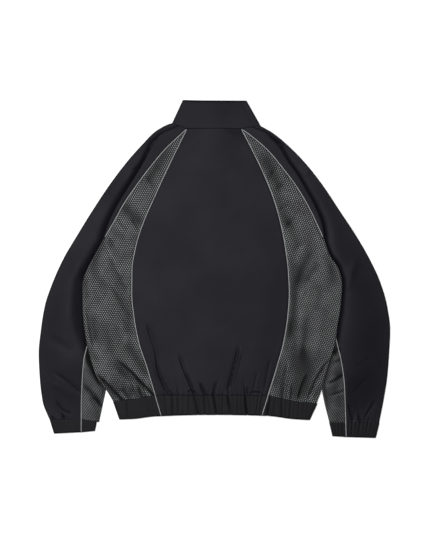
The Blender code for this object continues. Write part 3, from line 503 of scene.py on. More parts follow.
def neckDrop(side, x):
    return form["frontNeckDrop"] * np.maximum(0.0, 1 - (x / readLine("raglan", side, form["neckY"])) ** 2)


# each crease: start, middle and end in plan, depth (less than 0 is a ridge) and width, in mm;
# it slopes gently on the left of its way, or on the right where the width is less than 0
creases = {
    "body": [
        (-161, -124, -146, -158, -131, -212, 1.6, 6.5), (-134, -186, -126, -248, -88, -310, 2.2, 6.0),
        (-84, -192, -68, -238, -38, -308, 1.8, 5.0), (57, -172, 45, -222, 26, -292, 2.0, -5.5),
        (128, -205, 121, -238, 112, -282, 1.0, -5.0), (40, -262, 36, -276, 34, -296, 1.0, -3.5),
        (-36, -260, -27, -278, -16, -304, 1.7, 3.5), (6, -258, -2, -278, -8, -302, 1.3, -3.5),
        (74, -270, 73, -282, 71, -298, 1.6, -3.5), (100, -232, 92, -262, 88, -292, 0.7, -4.5),
        (-152, -168, -140, -212, -124, -262, -0.7, 9.0),
        (-63, -287, -55, -281, -45, -287, 1.1, -2.0), (80, -287, 93, -284, 107, -287, 1.2, -2.0),
        # left side panel
        (-158, 214, -148, 202, -134, 186, 1.2, 5.0), (-140, 238, -130, 224, -120, 208, -1.0, 5.5),
        (-193, 120, -184, 104, -172, 86, 1.5, 5.5), (-188, 145, -182, 130, -172, 112, -1.0, 6.0),
        (-228, 120, -214, 104, -198, 88, 1.4, 5.5), (-252, 82, -242, 68, -226, 54, 1.5, 5.5),
        (-264, 68, -234, 16, -192, -72, 1.7, -7.5), (-244, -28, -216, -76, -188, -120, 2.4, -8.5),
        (-284, -20, -262, -60, -236, -110, -1.8, 13.0), (-280, -108, -238, -194, -166, -262, 3.0, 13.0),
        (-222, -108, -208, -142, -196, -178, -1.2, 8.0), (-296, -70, -288, -130, -276, -190, 1.3, 9.0),
        (-230, -204, -180, -250, -108, -326, 4.4, -7.0), (-272, -240, -238, -274, -196, -318, 4.4, -7.0),
        (-236, -222, -204, -256, -176, -290, -1.5, 9.0), (-190, -258, -184, -282, -176, -300, 2.0, 4.0),
        (-164, -262, -160, -284, -154, -300, 1.8, 3.6), (-214, -276, -204, -288, -194, -302, 1.6, 4.0),
        # right side panel
        (119, 204, 132, 222, 148, 244, 1.4, 6.0), (132, 182, 148, 200, 168, 214, -1.1, 7.0),
        (146, 132, 162, 146, 182, 154, 1.4, 6.5), (160, 84, 172, 104, 192, 122, 1.2, 6.5),
        (180, 36, 194, 52, 214, 62, 1.4, 7.0), (252, 68, 216, -14, 186, -66, 1.9, 11.5),
        (238, 40, 214, -40, 202, -110, -1.8, 11.0), (272, 14, 268, -26, 262, -60, 1.4, 11.0),
        (232, -46, 218, -120, 197, -254, 2.0, 12.0), (250, -60, 240, -140, 226, -220, -1.0, 12.0),
        (190, 70, 193, -80, 184, -268, 2.1, 14.0), (266, -206, 236, -246, 212, -304, 3.4, 5.0),
        (214, -236, 200, -268, 190, -304, 1.8, 9.0), (168, -206, 158, -256, 152, -310, 2.2, -8.0),
        (178, -262, 176, -282, 174, -302, 1.4, 3.6), (246, -262, 236, -282, 228, -304, 1.2, 4.0),
    ],
    "sleeveleft": [
        (-374, -236, -340, -261, -304, -290, 1.6, 8.0), (-386, -262, -352, -272, -316, -300, -0.6, 9.0),
        (-370, -288, -354, -322, -326, -332, 1.4, 4.5), (-352, -328, -348, -338, -346, -350, 1.4, 2.6),
        (-376, -338, -372, -342, -368, -350, 1.0, 2.6), (-386, -150, -350, -176, -318, -190, 0.8, 12.0),
        (-262, 190, -240, 176, -222, 156, 0.7, 8.0),
        (-206, 262, -196, 244, -186, 226, -0.8, 8.0), (-330, 20, -312, -10, -300, -50, -0.9, 10.0),
        (-308, -260, -286, -284, -256, -320, 3.6, 7.0), (-300, -300, -284, -308, -272, -330, 1.0, 5.0),
        (-296, -206, -284, -226, -268, -246, 1.2, 6.0),
    ],
    "sleeveright": [
        (366, -190, 340, -214, 318, -222, 0.25, 10.0), (304, -306, 312, -330, 318, -352, 1.9, 4.0),
        (328, -334, 332, -346, 336, -356, 1.6, 3.0), (370, -300, 356, -322, 344, -342, 0.9, 7.0),
        (330, 30, 312, -10, 300, -56, -0.9, 10.0),
        (226, 246, 214, 228, 206, 210, -0.8, 8.0), (298, -240, 280, -252, 256, -266, 3.2, 6.5),
        (300, -276, 284, -284, 262, -290, 2.6, 5.5), (294, -206, 280, -212, 260, -218, 2.0, 5.0),
        (290, -182, 278, -186, 262, -196, 2.8, 6.0),
        (360, -240, 336, -262, 316, -286, 0.3, 9.0),
    ],
}
sharpWidth = 11.0    # narrower creases are sharp on one side
# depth at which a crease's painted shade on the net is full, and how much of its width that painted shade
# covers
paintedShadingAt = {"sharp": (4.6, 0.32), "soft": (11.0, 0.9)}

# painted shade on the net where there is no crease, darker in hollows and in the shadow beside the body's
# edge, and a painted highlight where less than 0: start, middle and end in plan, how much and how wide, in mm
paintedShadingRows = {
    "body": [
        (-98, 300, -130, 240, -166, 190, 0.75, 14), (-224, 162, -194, 128, -162, 98, 0.8, 15),
        (-250, 112, -228, 84, -202, 70, 0.45, 10), (-258, 78, -266, 44, -288, -10, 0.65, 11),
        (-292, 10, -268, -20, -238, -50, 0.5, 11), (-302, -12, -298, -40, -294, -80, 0.5, 8),
        (-288, -86, -280, -130, -272, -176, 0.5, 10), (-300, -164, -284, -192, -262, -214, 0.5, 9),
        (-258, -106, -246, -150, -230, -206, 0.35, 11), (-208, -164, -182, -202, -148, -258, 0.75, 13),
        (-184, -254, -172, -284, -162, -310, 0.55, 9), (-202, -104, -194, -132, -188, -164, 0.35, 7),
        (-230, -204, -180, -250, -108, -326, 0.6, 3.6), (-276, -236, -238, -274, -196, -318, 0.6, 3.2),
        (-213, -260, -203, -280, -190, -300, 0.45, 7), (-168, -274, -158, -282, -144, -294, -0.5, 6),
        (-220, -282, -210, -291, -200, -302, -0.5, 6), (-192, -280, -186, -289, -179, -300, -0.5, 4),
        (-198, -262, -192, -278, -186, -294, 0.6, 4), (-178, -266, -172, -281, -166, -296, 0.6, 4),
        (-218, -270, -209, -283, -200, -297, 0.5, 4),
        (-244, 56, -230, 20, -212, -20, -0.4, 9), (-224, -110, -210, -140, -196, -160, -0.35, 8),
        (108, 276, 130, 222, 156, 172, 0.75, 15), (142, 196, 150, 140, 176, 90, 0.5, 10),
        (160, 134, 178, 84, 192, 44, 0.5, 12), (228, 58, 206, 14, 181, -50, 0.75, 11),
        (242, 36, 262, 14, 280, -56, 0.45, 9), (238, 20, 226, -4, 210, -36, 0.5, 9),
        (212, -92, 205, -158, 198, -214, 0.5, 6.5), (180, -28, 179, -95, 167, -170, 0.55, 9),
        (242, -28, 238, -66, 230, -102, 0.45, 9), (168, -104, 168, -145, 158, -200, 0.45, 10),
        (150, -190, 145, -230, 133, -272, 0.55, 10), (216, -166, 198, -236, 178, -316, 0.76, 24),
        (228, -196, 214, -250, 204, -306, 0.35, 12), (209, 67, 195, 38, 181, 8, -0.4, 6),
        (234, 2, 213, -34, 192, -68, -0.45, 6), (199, -77, 195, -117, 184, -158, -0.3, 6),
        (262, -90, 246, -122, 200, -124, -0.3, 10),
    ],
    "sleeveleft": [
        (-299, -166, -289, -212, -254, -286, 1.1, 5.0), (-302, -170, -296, -196, -288, -226, 0.4, 8),
        (-310, -264, -280, -287, -254, -326, 1.1, 4.2), (-284, -286, -276, -310, -268, -340, 0.4, 10),
    ],
    "sleeveright": [
        (290, -160, 280, -182, 272, -200, 1.0, 6), (290, -186, 284, -218, 270, -250, 0.55, 11),
        (294, -226, 280, -258, 268, -288, 0.75, 10), (288, -284, 284, -300, 282, -320, 0.5, 9),
        (258, -262, 256, -296, 262, -336, 0.5, 8),
    ],
}

# the long crease down each sleeve: its place outward, how much of it there is and how far it reaches outward;
# below the armpit it runs along the body's edge
outline["longCrease"] = table(
    "y left right depth leftReach rightReach", (322, 96, 92, 0.0, 10, 10), (312, 119, 116, 0.1, 8, 8),
    (302, 131, 129, 0.35, 7, 7), (286, 145.5, 147, 0.75, 7, 7), (252, 163, 168, 0.95, 9, 9),
    (215, 185, 194, 1.0, 11, 10), (182, 206, 213, 1.0, 13, 10), (136, 233.5, 237, 1.0, 16, 10),
    (98, 250.5, 250.5, 1.0, 18, 10), (80, 256, 252.5, 1.0, 18, 9), (64, 259.5, 253, 1.0, 16, 8),
    (0, 293, 284, 1.0, 15, 7), (-90, 304, 288, 1.0, 17, 7), (-165, 295, 277, 0.85, 13, 7),
    (-215, 283, 262, 0.8, 9, 8), (-276, 250, 245, 0.3, 9, 9), (-300, 254, 249, 0.0, 10, 10),
    (-350, 266, 262, 0.0, 10, 10))

# gathers on the hem band: at the seam, at the lower edge, depth, reach into the panel above and its lean
gatherParts = "top bottom depth reach lean"
hemGathers = {
    "back": table(
        gatherParts, (-124, -117.5, 0.35, 8, 0.1), (-117, -109.5, 0.85, 14, 0.0),
        (-98.6, -95.2, 1.2, 5, -0.5), (-84.6, -83, 0.8, 26, -0.1), (-71.5, -72.5, 0.45, 10, 0.0),
        (-58.5, -60, 0.8, 8, 0.0), (-48.8, -38.5, 1.5, 6, -0.4), (-37, -31, 0.4, 8, 0.0),
        (-25.5, -22.4, 1.2, 24, -0.35), (-16, -9, 0.7, 12, 0.2), (-3.8, 5, 1.4, 20, 0.3),
        (10.8, 11.5, 0.45, 9, 0.0), (17.5, 17, 0.8, 9, 0.2), (30.4, 36, 1.35, 26, 0.25),
        (43.4, 44, 0.45, 10, 0.0), (52.7, 53, 0.7, 8, 0.0), (60.5, 62, 0.4, 14, 0.1),
        (69.3, 73.8, 1.75, 20, -0.1), (83.2, 82.5, 0.35, 8, 0.0), (92, 88.5, 0.3, 8, 0.0),
        (100.3, 94.5, 0.8, 12, 0.2), (109.7, 101, 0.7, 8, 0.0)),
    "left": table(
        gatherParts, (145.7, 136, 0.4, 8, 0.0), (157.6, 150, 0.55, 12, 0.2), (167, 162, 0.35, 18, 0.3),
        (180, 176, 0.25, 10, 0.0), (191.8, 188, 0.3, 12, 0.1), (202.7, 199.6, 1.0, 20, 0.5),
        (216, 210, 0.25, 8, 0.0)),
    "right": table(
        gatherParts, (127, 120, 1.4, 12, 0.0), (140.7, 136, 0.4, 9, 0.1), (153.2, 154, 1.1, 14, 0.0),
        (164, 163, 0.35, 16, 0.1), (175, 172.4, 0.8, 12, 0.2), (183.5, 181, 0.3, 14, 0.0),
        (193.6, 193, 0.5, 18, 0.2), (205.6, 200.5, 0.35, 10, 0.0), (214, 207, 0.25, 8, 0.0)),
}
# gathers on the cuffs, as shares from the seam to the fold
cuffGathers = {
    "outer": table(
        gatherParts, (0.1, 0.1, 0.6, 12, 0.1), (0.21, 0.19, 0.85, 22, 0.2), (0.33, 0.34, 0.4, 9, 0.0),
        (0.45, 0.44, 0.8, 26, -0.2), (0.57, 0.58, 0.45, 12, 0.1), (0.69, 0.67, 0.55, 18, 0.3),
        (0.82, 0.81, 0.35, 10, 0.0), (0.92, 0.92, 0.3, 8, 0.0)),
    "inner": table(
        gatherParts, (0.22, 0.2, 0.8, 12, 0.1), (0.48, 0.5, 0.6, 16, -0.2), (0.76, 0.78, 0.4, 9, 0.0)),
}
cuffShare = {"left": 0.5, "right": 0.95}    # the left cuff is pulled flatter
gatherSteps = np.array([0.0, 0.05, 0.11, 0.2, 0.35, 0.6, 0.8, 0.92])
panelSteps = np.array([0.0, 0.08, 0.2, 0.34, 0.5, 0.66, 0.8, 0.92])


def valley(away, width):
    # a sharp fold: falls away over the width on one side and comes up steeply on the other to a low lip
    steep = max(0.4 * width, 2.0)
    lip = 0.25 * np.exp(-((away + 2.6 * steep) / (1.5 * steep)) ** 2)
    return np.where(away > 0, np.exp(-np.maximum(away, 0) / width), np.exp(-(away / steep) ** 2)) - lip


def besideLine(x, y, bend, reach):
    # distance from a bent line through three places, its strength there (it fades at both ends) and whether
    # the point lies on the left of it; None where all points are out of its reach
    xs, ys = np.array(bend[::2]), np.array(bend[1::2])
    if (xs.min() - reach > x.max() or xs.max() + reach < x.min()
            or ys.min() - reach > y.max() or ys.max() + reach < y.min()):
        return None
    t = np.linspace(0, 1, 13)
    px, py = ((1 - t) ** 2 * at[0] + t * (1 - t) * (4 * at[1] - at[0] - at[2]) + t * t * at[2]
              for at in (xs, ys))
    nearest, along, onLeft = np.full(x.shape, 1e6), np.zeros(x.shape), np.zeros(x.shape, bool)
    for index in range(len(t) - 1):
        dx, dy = px[index + 1] - px[index], py[index + 1] - py[index]
        part = np.clip(((x - px[index]) * dx + (y - py[index]) * dy) / (dx * dx + dy * dy), 0, 1)
        away = np.hypot(x - px[index] - part * dx, y - py[index] - part * dy)
        closer = away < nearest
        nearest = np.where(closer, away, nearest)
        along = np.where(closer, (index + part) / (len(t) - 1), along)
        onLeft = np.where(closer, (x - px[index]) * dy - (y - py[index]) * dx < 0, onLeft)
    return nearest, smooth(along * 3.2) * smooth((1 - along) * 5.0), onLeft


def creaseRelief(x, y, rows):
    x, y = np.broadcast_arrays(np.asarray(x, float), np.asarray(y, float))
    total = np.zeros(x.shape)
    for *bend, depth, width in rows:
        beside = besideLine(x, y, bend, 4.5 * abs(width))
        if beside is None:
            continue
        nearest, strength, onLeft = beside
        if depth > 0 and abs(width) < sharpWidth:
            gentle = onLeft if width > 0 else ~onLeft
            total -= depth * strength * valley(np.where(gentle, nearest, -nearest), 0.6 * abs(width))
        else:
            total -= depth * strength * np.exp(-(nearest / width) ** 2)
    return total


def paintedShadingShare(x, y, part):
    # painted shade on the net: 1 darkest in the deepest folds, below 0 a painted highlight that lightens it
    total = np.zeros(x.shape)
    rows = []
    for *bend, depth, width in creases[part]:
        full, share = paintedShadingAt["sharp" if abs(width) < sharpWidth else "soft"]
        if depth > 0:
            rows.append((*bend, depth / full, abs(width) * share))
    for *bend, share, width in rows + paintedShadingRows[part]:
        beside = besideLine(x, y, bend, 3 * width)
        if beside is not None:
            total += share * beside[1] * np.exp(-(beside[0] / width) ** 2)
    return np.clip(total, -0.5, 1.0)


def wander(x, y, seed, wave, height):
    # slow unevenness: a few seeded waves across each other
    chance = np.random.default_rng(seed)
    total = np.zeros(np.broadcast(x, y).shape)
    for _ in range(7):
        angle, length = chance.uniform(0, math.pi), wave * chance.uniform(0.6, 1.7)
        turn = chance.uniform(0, 2 * math.pi)
        total += np.sin((x * math.cos(angle) + y * math.sin(angle)) * 2 * math.pi / length + turn)
    return total * height / 7 ** 0.5


def gatherRelief(across, up, rows):
    # valleys above a band, wider and shallower as they go up
    total = np.zeros(np.broadcast(across, up).shape)
    for top, depth, reach, lean in zip(rows["top"], rows["depth"], rows["reach"], rows["lean"]):
        away = across - (top + lean * up)
        height = np.maximum(up, 0)
        steep, gentle = 1.2 + 0.04 * height, 1.5 + 0.07 * height
        shape = np.where(away > 0, away / gentle, (away / steep) ** 2)
        total -= depth * np.exp(-(height / reach) ** 1.6) * np.exp(-shape)
    return total


def bodyRelief(x, y):
    # everything that moves the back and side panels off their even form; x is negative on the left
    up = y - readLine("hemLine", "top", x)
    relief = creaseRelief(x, y, creases["body"]) + wander(x, y, 11, 150, 0.15) + wander(x, y, 12, 50, 0.04)
    relief += gatherRelief(x, up, hemGathers["back"]) * (np.abs(x) < 145)
    for side, sign in signs.items():
        seam = readLine("backSeam", side, y)
        relief += gatherRelief(sign * x, up, hemGathers[side]) * smooth((sign * x - seam) / 8 + 1)
    return relief * smooth((form["neckY"] - y) / 30 + 0.2)


def seamDip(distance):
    return form["seamDip"] * np.exp(-(distance / form["seamDipWidth"]) ** 2)


zipSet = {"wall": 0.7, "look": "tape", "slot": "zip_tape", "cut": (0.014, 0.665), "held": "laid",
          "sliderY": 316.0, "sliderLength": 9.6, "bridge": 2.2, "chainThick": 2.4, "tapeEdge": 3.1,
          "tapeWidth": 14.0, "tapeThick": 1.0, "frontWall": 1.2, "toothPitch": 2.5, "ribHeight": 0.18,
          "tapeShares": (0.0, 0.06, 0.14, 0.3, 0.5, 0.7, 0.88, 0.95, 1.0),
          "ribs": (1.0, 0.6, 0, 0, 0, 0, 0, 0.5, 0.2), "lift": 2.0, "liftBelow": 34.0, "liftAbove": 8.0,
          "liftHalf": 46.0, "swell": 1.15, "swellHalf": 68.0}


def zipLift(x, y):
    low, high = zipSet["sliderY"] - zipSet["liftBelow"], zipSet["sliderY"] + zipSet["liftAbove"]
    along = smooth((y - low + 26) / 26) * smooth((high + 14 - y) / 14)
    return zipSet["lift"] * along * smooth((zipSet["liftHalf"] - x) / 34)


def overPull(x, y):
    # the back lies over the zip's slider and pull in one low wide swell
    return zipSet["swell"] * zipSet["lift"] * ramp("swell", y) * smooth((zipSet["swellHalf"] - x) / 66)


def neckAndHemRise(y):
    return form["neckRise"] * ramp("neck", y) + form["hemRise"] * ramp("hem", y)


def sideRise(side, x, y):
    # 0 on the flat of the body, 1 where its side lies on the sleeve
    below = ramp("sideLap", y)
    raglan = readLine("raglan", side, y)
    high = mix(raglan, readLine("sleeveInner", side, y) - form["lapInset"], below)
    low = mix(raglan - form["lapReach"], readLine("frontSeam", side, y), below)
    return smooth((x - low) / (high - low))


def bodyTop(side, x, y):
    # x is the distance outward here
    lap = (readLine("lap", "top", y) - form["bodyTop"]) * sideRise(side, x, y)
    puff = smooth((readLine("backSeam", side, y) - x) / form["backPuffSpan"]) * ramp("backPuffTop", y)
    puff = form["backPuff"] * puff * ramp("backPuffHem", y)
    top = form["bodyTop"] + neckAndHemRise(y) + lap + puff + overPull(x, y) + bodyRelief(signs[side] * x, y)
    # creases stop softly above the layer beneath
    lowest = bodyUnder(side, x, y) + form["layerGap"]
    return lowest + np.logaddexp(0, (top - lowest) / 0.5) * 0.5


def bodyUnder(side, x, y):
    return np.maximum(0.0, readLine("lap", "under", y)) * sideRise(side, x, y)


def creaseLine(side, y):
    below = readLine("bodySide", side, np.maximum(y, form["sideEndY"]))
    below = np.maximum(below, readLine("sleeveInner", side, y))
    return mix(readLine("longCrease", side, y), below, ramp("creaseTurn", y))


def sleeveTop(side, x, y):
    # height of a sleeve's upper layer: the long crease, the crown beside it and the gathers above the cuff
    crease, edge = creaseLine(side, y), readLine("sleeveOuter", side, y)
    above = np.maximum(y, form["armpitY"])
    raglan = readLine("raglan", side, above)
    beside = (readLine("lap", "top", above) + neckAndHemRise(np.maximum(y, 40))
              + form["shoulderRise"] * smooth((x - raglan) / np.maximum(crease - raglan, 6.0)))
    under = readLine("lap", "sleeve", np.maximum(y, form["sleeveEndY"]))
    inside = mix(beside, under, ramp("underLap", y))
    bottom = mix(inside, form["creaseFloor"], readLine("longCrease", "depth", y))
    puff = form["sleevePuff"] * smooth((edge - x) / form["puffSpan"][side]) * ramp("sleevePuffTop", y)
    puff = puff * smooth((y - form["puffLowY"]) / form["puffRamp"][side])
    rise = form["neckRise"] * ramp("neck", y) + form["cuffRise"] * ramp("cuffRise", y)
    crown = form["sleeveTop"] + rise + puff
    away = np.maximum(x - crease, 0) / readLine("longCrease", side + "Reach", y)
    # an even slope with a soft foot on the left, a hollow one on the right
    even = form["creaseEven"][side] * ramp("evenLow", y) * ramp("evenHigh", y)
    slope = np.logaddexp(0, form["evenDepth"] - form["evenFall"] * away) / form["evenScale"]
    outside = crown + (bottom - crown) * mix(np.exp(-away), slope, even)
    inside = inside + (bottom - inside) * np.exp(np.minimum(x - crease, 0) / form["creaseSteep"])
    signed = signs[side] * x
    relief = creaseRelief(signed, y, creases["sleeve" + side]) + wander(signed, y, 23, 60, 0.1)
    relief = relief + wander(signed, y, 21 if side == "left" else 22, 130, 0.3) * smooth((x - crease) / 20)
    cuff = cuffOf(side)
    seam, up = cuff["seam"][0], y - cuff["seamY"][0]
    for section, way in (("outer", 1), ("inner", -1)):
        width = way * (cuff[section][0] - seam) - form["gatherInset"]
        away = way * (x - seam)
        rows = dict(cuffGathers[section], top=cuffGathers[section]["top"] * width)
        relief = relief + cuffShare[side] * gatherRelief(away, up, rows) * (away > -0.05 * width)
    return np.maximum(np.where(x > crease, outside, inside) + relief, 2.0)


seamColumns = np.array([0.9, 2.0, 3.6, 6.0])


def columnsBetween(start, end, count):
    # even columns with finer ones beside both seams
    span = abs(end - start)
    offsets = seamColumns * min(1.0, span / (3.0 * seamColumns[-1])) / max(span, 1e-6)
    inner = np.linspace(offsets[-1], 1 - offsets[-1], count)
    return start + (end - start) * np.concatenate([[0.0], offsets[:-1], inner, 1 - offsets[:-1][::-1], [1.0]])


def foldLine(edge, top, under, steps=form["foldSteps"]):
    # a round fold from the upper layer to the lower one, ends left out; outward distances and heights
    radius = (top - under) / 2
    angle = math.pi * np.arange(1, steps) / steps
    return edge - radius + radius * np.sin(angle), under + radius + radius * np.cos(angle)


def folded(sign, upper, fold, lower):
    # a row (x, y, z) round a fold: the upper layer, the fold and the layer beneath
    x, y, z = (np.concatenate(parts) for parts in zip(upper, fold, lower))
    return sign * x, y, z


def gridOf(rows):
    # rows are (x, y, z) arrays; shorter rows are filled up with gaps
    width = max(len(row[0]) for row in rows)
    grid = np.full((len(rows), width, 3), np.nan)
    for index, (x, y, z) in enumerate(rows):
        grid[index, :len(x)] = np.stack([x, np.broadcast_to(y, x.shape), np.broadcast_to(z, x.shape)], 1)
    return grid


def cutMap(grid, turn, pulled):
    # flat coordinates in mm: along each row by its length, and down the piece by y, turned to the grain;
    # pulled is a direction in which the knit lies closer, and how close
    flat = np.nan_to_num(grid)
    steps = np.linalg.norm(np.diff(flat, axis=1), axis=2)
    run = np.concatenate([np.zeros((len(grid), 1)), np.cumsum(steps, 1)], 1)
    way = np.sign(flat[len(grid) // 2, 1, 0] - flat[len(grid) // 2, 0, 0])
    u, v = flat[:, :1, 0] + way * run, flat[..., 1]
    u, v = u * math.cos(turn) - v * math.sin(turn), u * math.sin(turn) + v * math.cos(turn)
    if pulled is not None:
        angle, share = pulled
        more = (u * math.cos(angle) + v * math.sin(angle)) * (1 / share - 1)
        u, v = u + more * math.cos(angle), v + more * math.sin(angle)
    return np.stack([u, v], 2)


def meshObject(name, points, faces, uvs, look, paintedShading=None, sharp=True):
    mesh = bpy.data.meshes.new(name)
    mesh.from_pydata((np.asarray(points) * mm).tolist(), [], faces)
    vertexOf = np.empty(len(mesh.loops), int)
    mesh.loops.foreach_get("vertex_index", vertexOf)
    mesh.uv_layers.new(name="cut").data.foreach_set("uv", (np.asarray(uvs)[vertexOf] * mm).ravel())
    # painted shade and painted highlight for the net, kept as a per-point attribute for its material
    if paintedShading is not None:
        shares = mesh.attributes.new("paintedShading", "FLOAT", "POINT")
        shares.data.foreach_set("value", np.asarray(paintedShading, np.float32))
    mesh.materials.append(look)
    mesh.shade_smooth()
    if sharp:
        mesh.set_sharp_from_angle(angle=math.radians(50))
    made = bpy.data.objects.new(name, mesh)
    scene.collection.objects.link(made)
    return made


def cloth(name, node, rows, piece, flip, turn=0.0, pulled=None, folds=None):
    # a thin wall of cloth, shut all round, under the rows' points, which stands for its solid
    grid = gridOf(rows)
    filled = ~np.isnan(grid[..., 0])
    number = np.full(filled.shape, -1)
    number[filled] = np.arange(filled.sum())
    faces = np.stack([number[:-1, :-1], number[:-1, 1:], number[1:, 1:], number[1:, :-1]], -1).reshape(-1, 4)
    faces = faces[(faces >= 0).all(1)]
    if flip:
        faces = faces[:, ::-1]
    points = grid[filled]
    # painted shade and painted highlight of the net's folds, hollows and the shadow beside the body's edge;
    # folds names the table part for it
    paintedShading = None if folds is None else paintedShadingShare(points[:, 0], points[:, 1], folds)
    flat = cutMap(grid, turn, pulled)[filled]
    made = meshObject(name, points, faces.tolist(), flat, looks[piece["look"]], paintedShading)
    wall = made.modifiers.new("cloth", "SOLIDIFY")
    wall.thickness = piece["wall"] * mm
    wall.offset = -1.0
    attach(made, "jacket")
    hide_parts(node)
    return made


def floorLift(x, y, seed):
    # the layer on the floor: small folds that leave it, never below it
    return np.maximum(0.0, wander(x, y, seed, 90, 0.5) - 0.1)


upperStations = np.concatenate([[322, 321.2, 320, 318.2], np.arange(316, 72, -3.0), [71.5, 70]])
armpitStations = np.array([69, 66.5, 64, 61, 57, 53, 49, 45])
bodyStations = np.concatenate([
    upperStations, armpitStations, np.arange(42, -244, -3.0), np.arange(-244, -280, -2.2),
    [-281.5, -283.5, -285.3, -286.8, -288, -288.9, -289.5]])


def tuckRows(row, way, shift, inset=3.6):
    # two more rows beyond a seam, squeezed flat, so that the panel's edge lies inside the band there
    x, y, z = (np.array(part, float) for part in np.broadcast_arrays(*row))
    reach = np.abs(x).max() - inset
    inner = np.clip(x, -reach, reach)
    return [(mix(x, inner, 0.4), y + way * 0.05, np.clip(z, form["tuckLow"], form["tuckHigh"] + 1.0)),
            (inner, y + way * (form["tuck"] + shift), np.clip(z, form["tuckLow"], form["tuckHigh"]))]


def gatherColumns(start, end, tops):
    # columns set close beside each gather line
    lines = np.concatenate([[start], tops, [end]])
    return np.append((lines[:-1, None] + panelSteps * np.diff(lines)[:, None]).ravel(), end)


def blendColumns(even, gathered, share):
    places = np.linspace(0, 1, len(gathered))
    return mix(np.interp(places, np.linspace(0, 1, len(even)), even), gathered, share)


def seamGapAt(station):
    if station == form["neckY"]:
        return -form["seamGap"] / 2
    return form["seamGap"] / 2 if station == form["hemY"] else 0.0


def hemAndNeckDip(x, y):
    neck = readLine("collarSeam", "back", x) - y
    return seamDip(y - readLine("hemLine", "top", x)) * form["bandDip"] + seamDip(neck) * form["neckDip"]


backSet = {"wall": 0.7, "look": "shell", "slot": "black_shell", "cut": (0.385, 0.615), "cutArea": 0.186,
           "held": "laid"}


def backPanel():
    left, right = -readLine("backSeam", "left", form["hemY"]), readLine("backSeam", "right", form["hemY"])
    shares = (gatherColumns(left, right, hemGathers["back"]["top"]) - left) / (right - left)
    rows = []
    for station in bodyStations:
        ends = {}
        for side, sign in signs.items():
            y = float(rowLine(station, sign * readLine("backSeam", side, station)))
            ends[side] = sign * seamPoint("backSeam", side, y, -form["seamGap"] / 2)[0]
        x = mix(ends["left"], ends["right"], shares)
        y = rowLine(station, x) + seamGapAt(station)
        z = np.where(x < 0, bodyTop("left", np.abs(x), y), bodyTop("right", np.abs(x), y))
        z = z - seamDip(x - ends["left"]) - seamDip(ends["right"] - x) - hemAndNeckDip(x, y)
        rows.append((x, y, z))
    rows = tuckRows(rows[0], 1, 0.2, 0.0)[::-1] + rows + tuckRows(rows[-1], -1, 0.5, 0.0)
    return cloth("back_cloth", "back_panel", rows, backSet, True)


netSet = {"wall": 0.8, "look": "net", "slot": "grey_net", "cut": (0.22, 0.66), "cutArea": 0.087,
          "held": "laid", "grainTurn": {"left": -0.06, "right": 0.2}, "lapColumns": 6, "dropColumns": 16}


def sideNet(side):
    sign = signs[side]
    gap = form["seamGap"]
    netColumns = len(panelSteps) * (len(hemGathers[side]["top"]) + 1) + 1 - 2 * len(seamColumns)
    rows = []
    for station in bodyStations[4:]:
        lift = gap / 2 if station == form["hemY"] else 0.0
        y = float(rowLine(station, sign * readLine("backSeam", side, station)))
        inner, innerY = seamPoint("backSeam", side, y, gap / 2)
        if station >= form["armpitY"]:
            outer, outerY = seamPoint("raglan", side, station, -gap / 2)
            x = columnsBetween(inner, outer, netColumns)
            y = mix(innerY, outerY, (x - inner) / (outer - inner))
            z = bodyTop(side, x, y) - seamDip(x - inner) - seamDip(outer - x)
            rows.append((sign * x, y, z))
            continue
        y = float(rowLine(station, sign * readLine("bodySide", side, station)))
        edge = lineAt("bodySide", side, y)
        under = float(bodyUnder(side, edge, y))
        turn = edge
        for _ in range(3):
            top = float(bodyTop(side, turn, y))
            turn = edge - (top - under) / 2
        tops = np.clip(hemGathers[side]["top"], inner + 1.5, turn - 1.5)
        x = blendColumns(columnsBetween(inner, turn, netColumns), gatherColumns(inner, turn, tops),
                         float(ramp("netGathers", station)))
        ys = rowLine(station, sign * x) + lift
        z = bodyTop(side, x, ys) - seamDip(x - inner) - hemAndNeckDip(sign * x, ys)
        foldX, foldZ = foldLine(edge, float(z[-1]), under)
        foldY = np.full(foldX.shape, float(rowLine(station, sign * edge)) + lift)
        lapEnd = min(lineAt("sleeveInner", side, y), turn) - form["lapInset"]
        seam = lineAt("frontSeam", side, rowLine(station, sign * 190)) + gap / 2
        backX = np.concatenate([np.linspace(turn, lapEnd, netSet["lapColumns"]),
                                np.linspace(lapEnd, seam, netSet["dropColumns"])[1:]])
        backY = rowLine(station, sign * backX) + lift
        backZ = bodyUnder(side, backX, backY)
        backZ[-1] = 0.0
        rows.append(folded(sign, (x, ys, z), (foldX, foldY, foldZ), (backX, backY, backZ)))
    rows += tuckRows(rows[-1], -1, 1.8)
    return cloth("net_cloth_" + side, "side_net_" + side, rows, netSet, sign > 0,
                 turn=netSet["grainTurn"][side], folds="body")


frontSet = {"wall": 0.7, "look": "shell", "slot": "black_shell", "cut": (0.255, 0.60), "cutArea": 0.112,
            "held": "laid", "columns": 30}


def frontPanel(side):
    sign = signs[side]
    rows = []
    for station in bodyStations:
        if station >= form["armpitY"]:
            outer = seamPoint("raglan", side, station, -form["seamGap"] / 2)[0]
        else:
            outer = lineAt("frontSeam", side, rowLine(station, sign * 190)) - form["seamGap"] / 2
        x = columnsBetween(form["zipSlotHalf"], outer, frontSet["columns"])
        y = rowLine(station, sign * x) + seamGapAt(station) - ramp("frontDrop", station) * neckDrop(side, x)
        edges = smooth((x - form["zipSlotHalf"]) / 30) * smooth((outer - x) / 20)
        z = zipLift(x, y) + floorLift(sign * x, y, 31) * edges * ramp("frontHem", station)
        rows.append((sign * x, y, z))
    rows = tuckRows(rows[0], 1, 0.2, 0.0)[::-1] + rows + tuckRows(rows[-1], -1, 0.5, 0.0)
    return cloth("front_cloth_" + side, "front_panel_" + side, rows, frontSet, sign < 0)


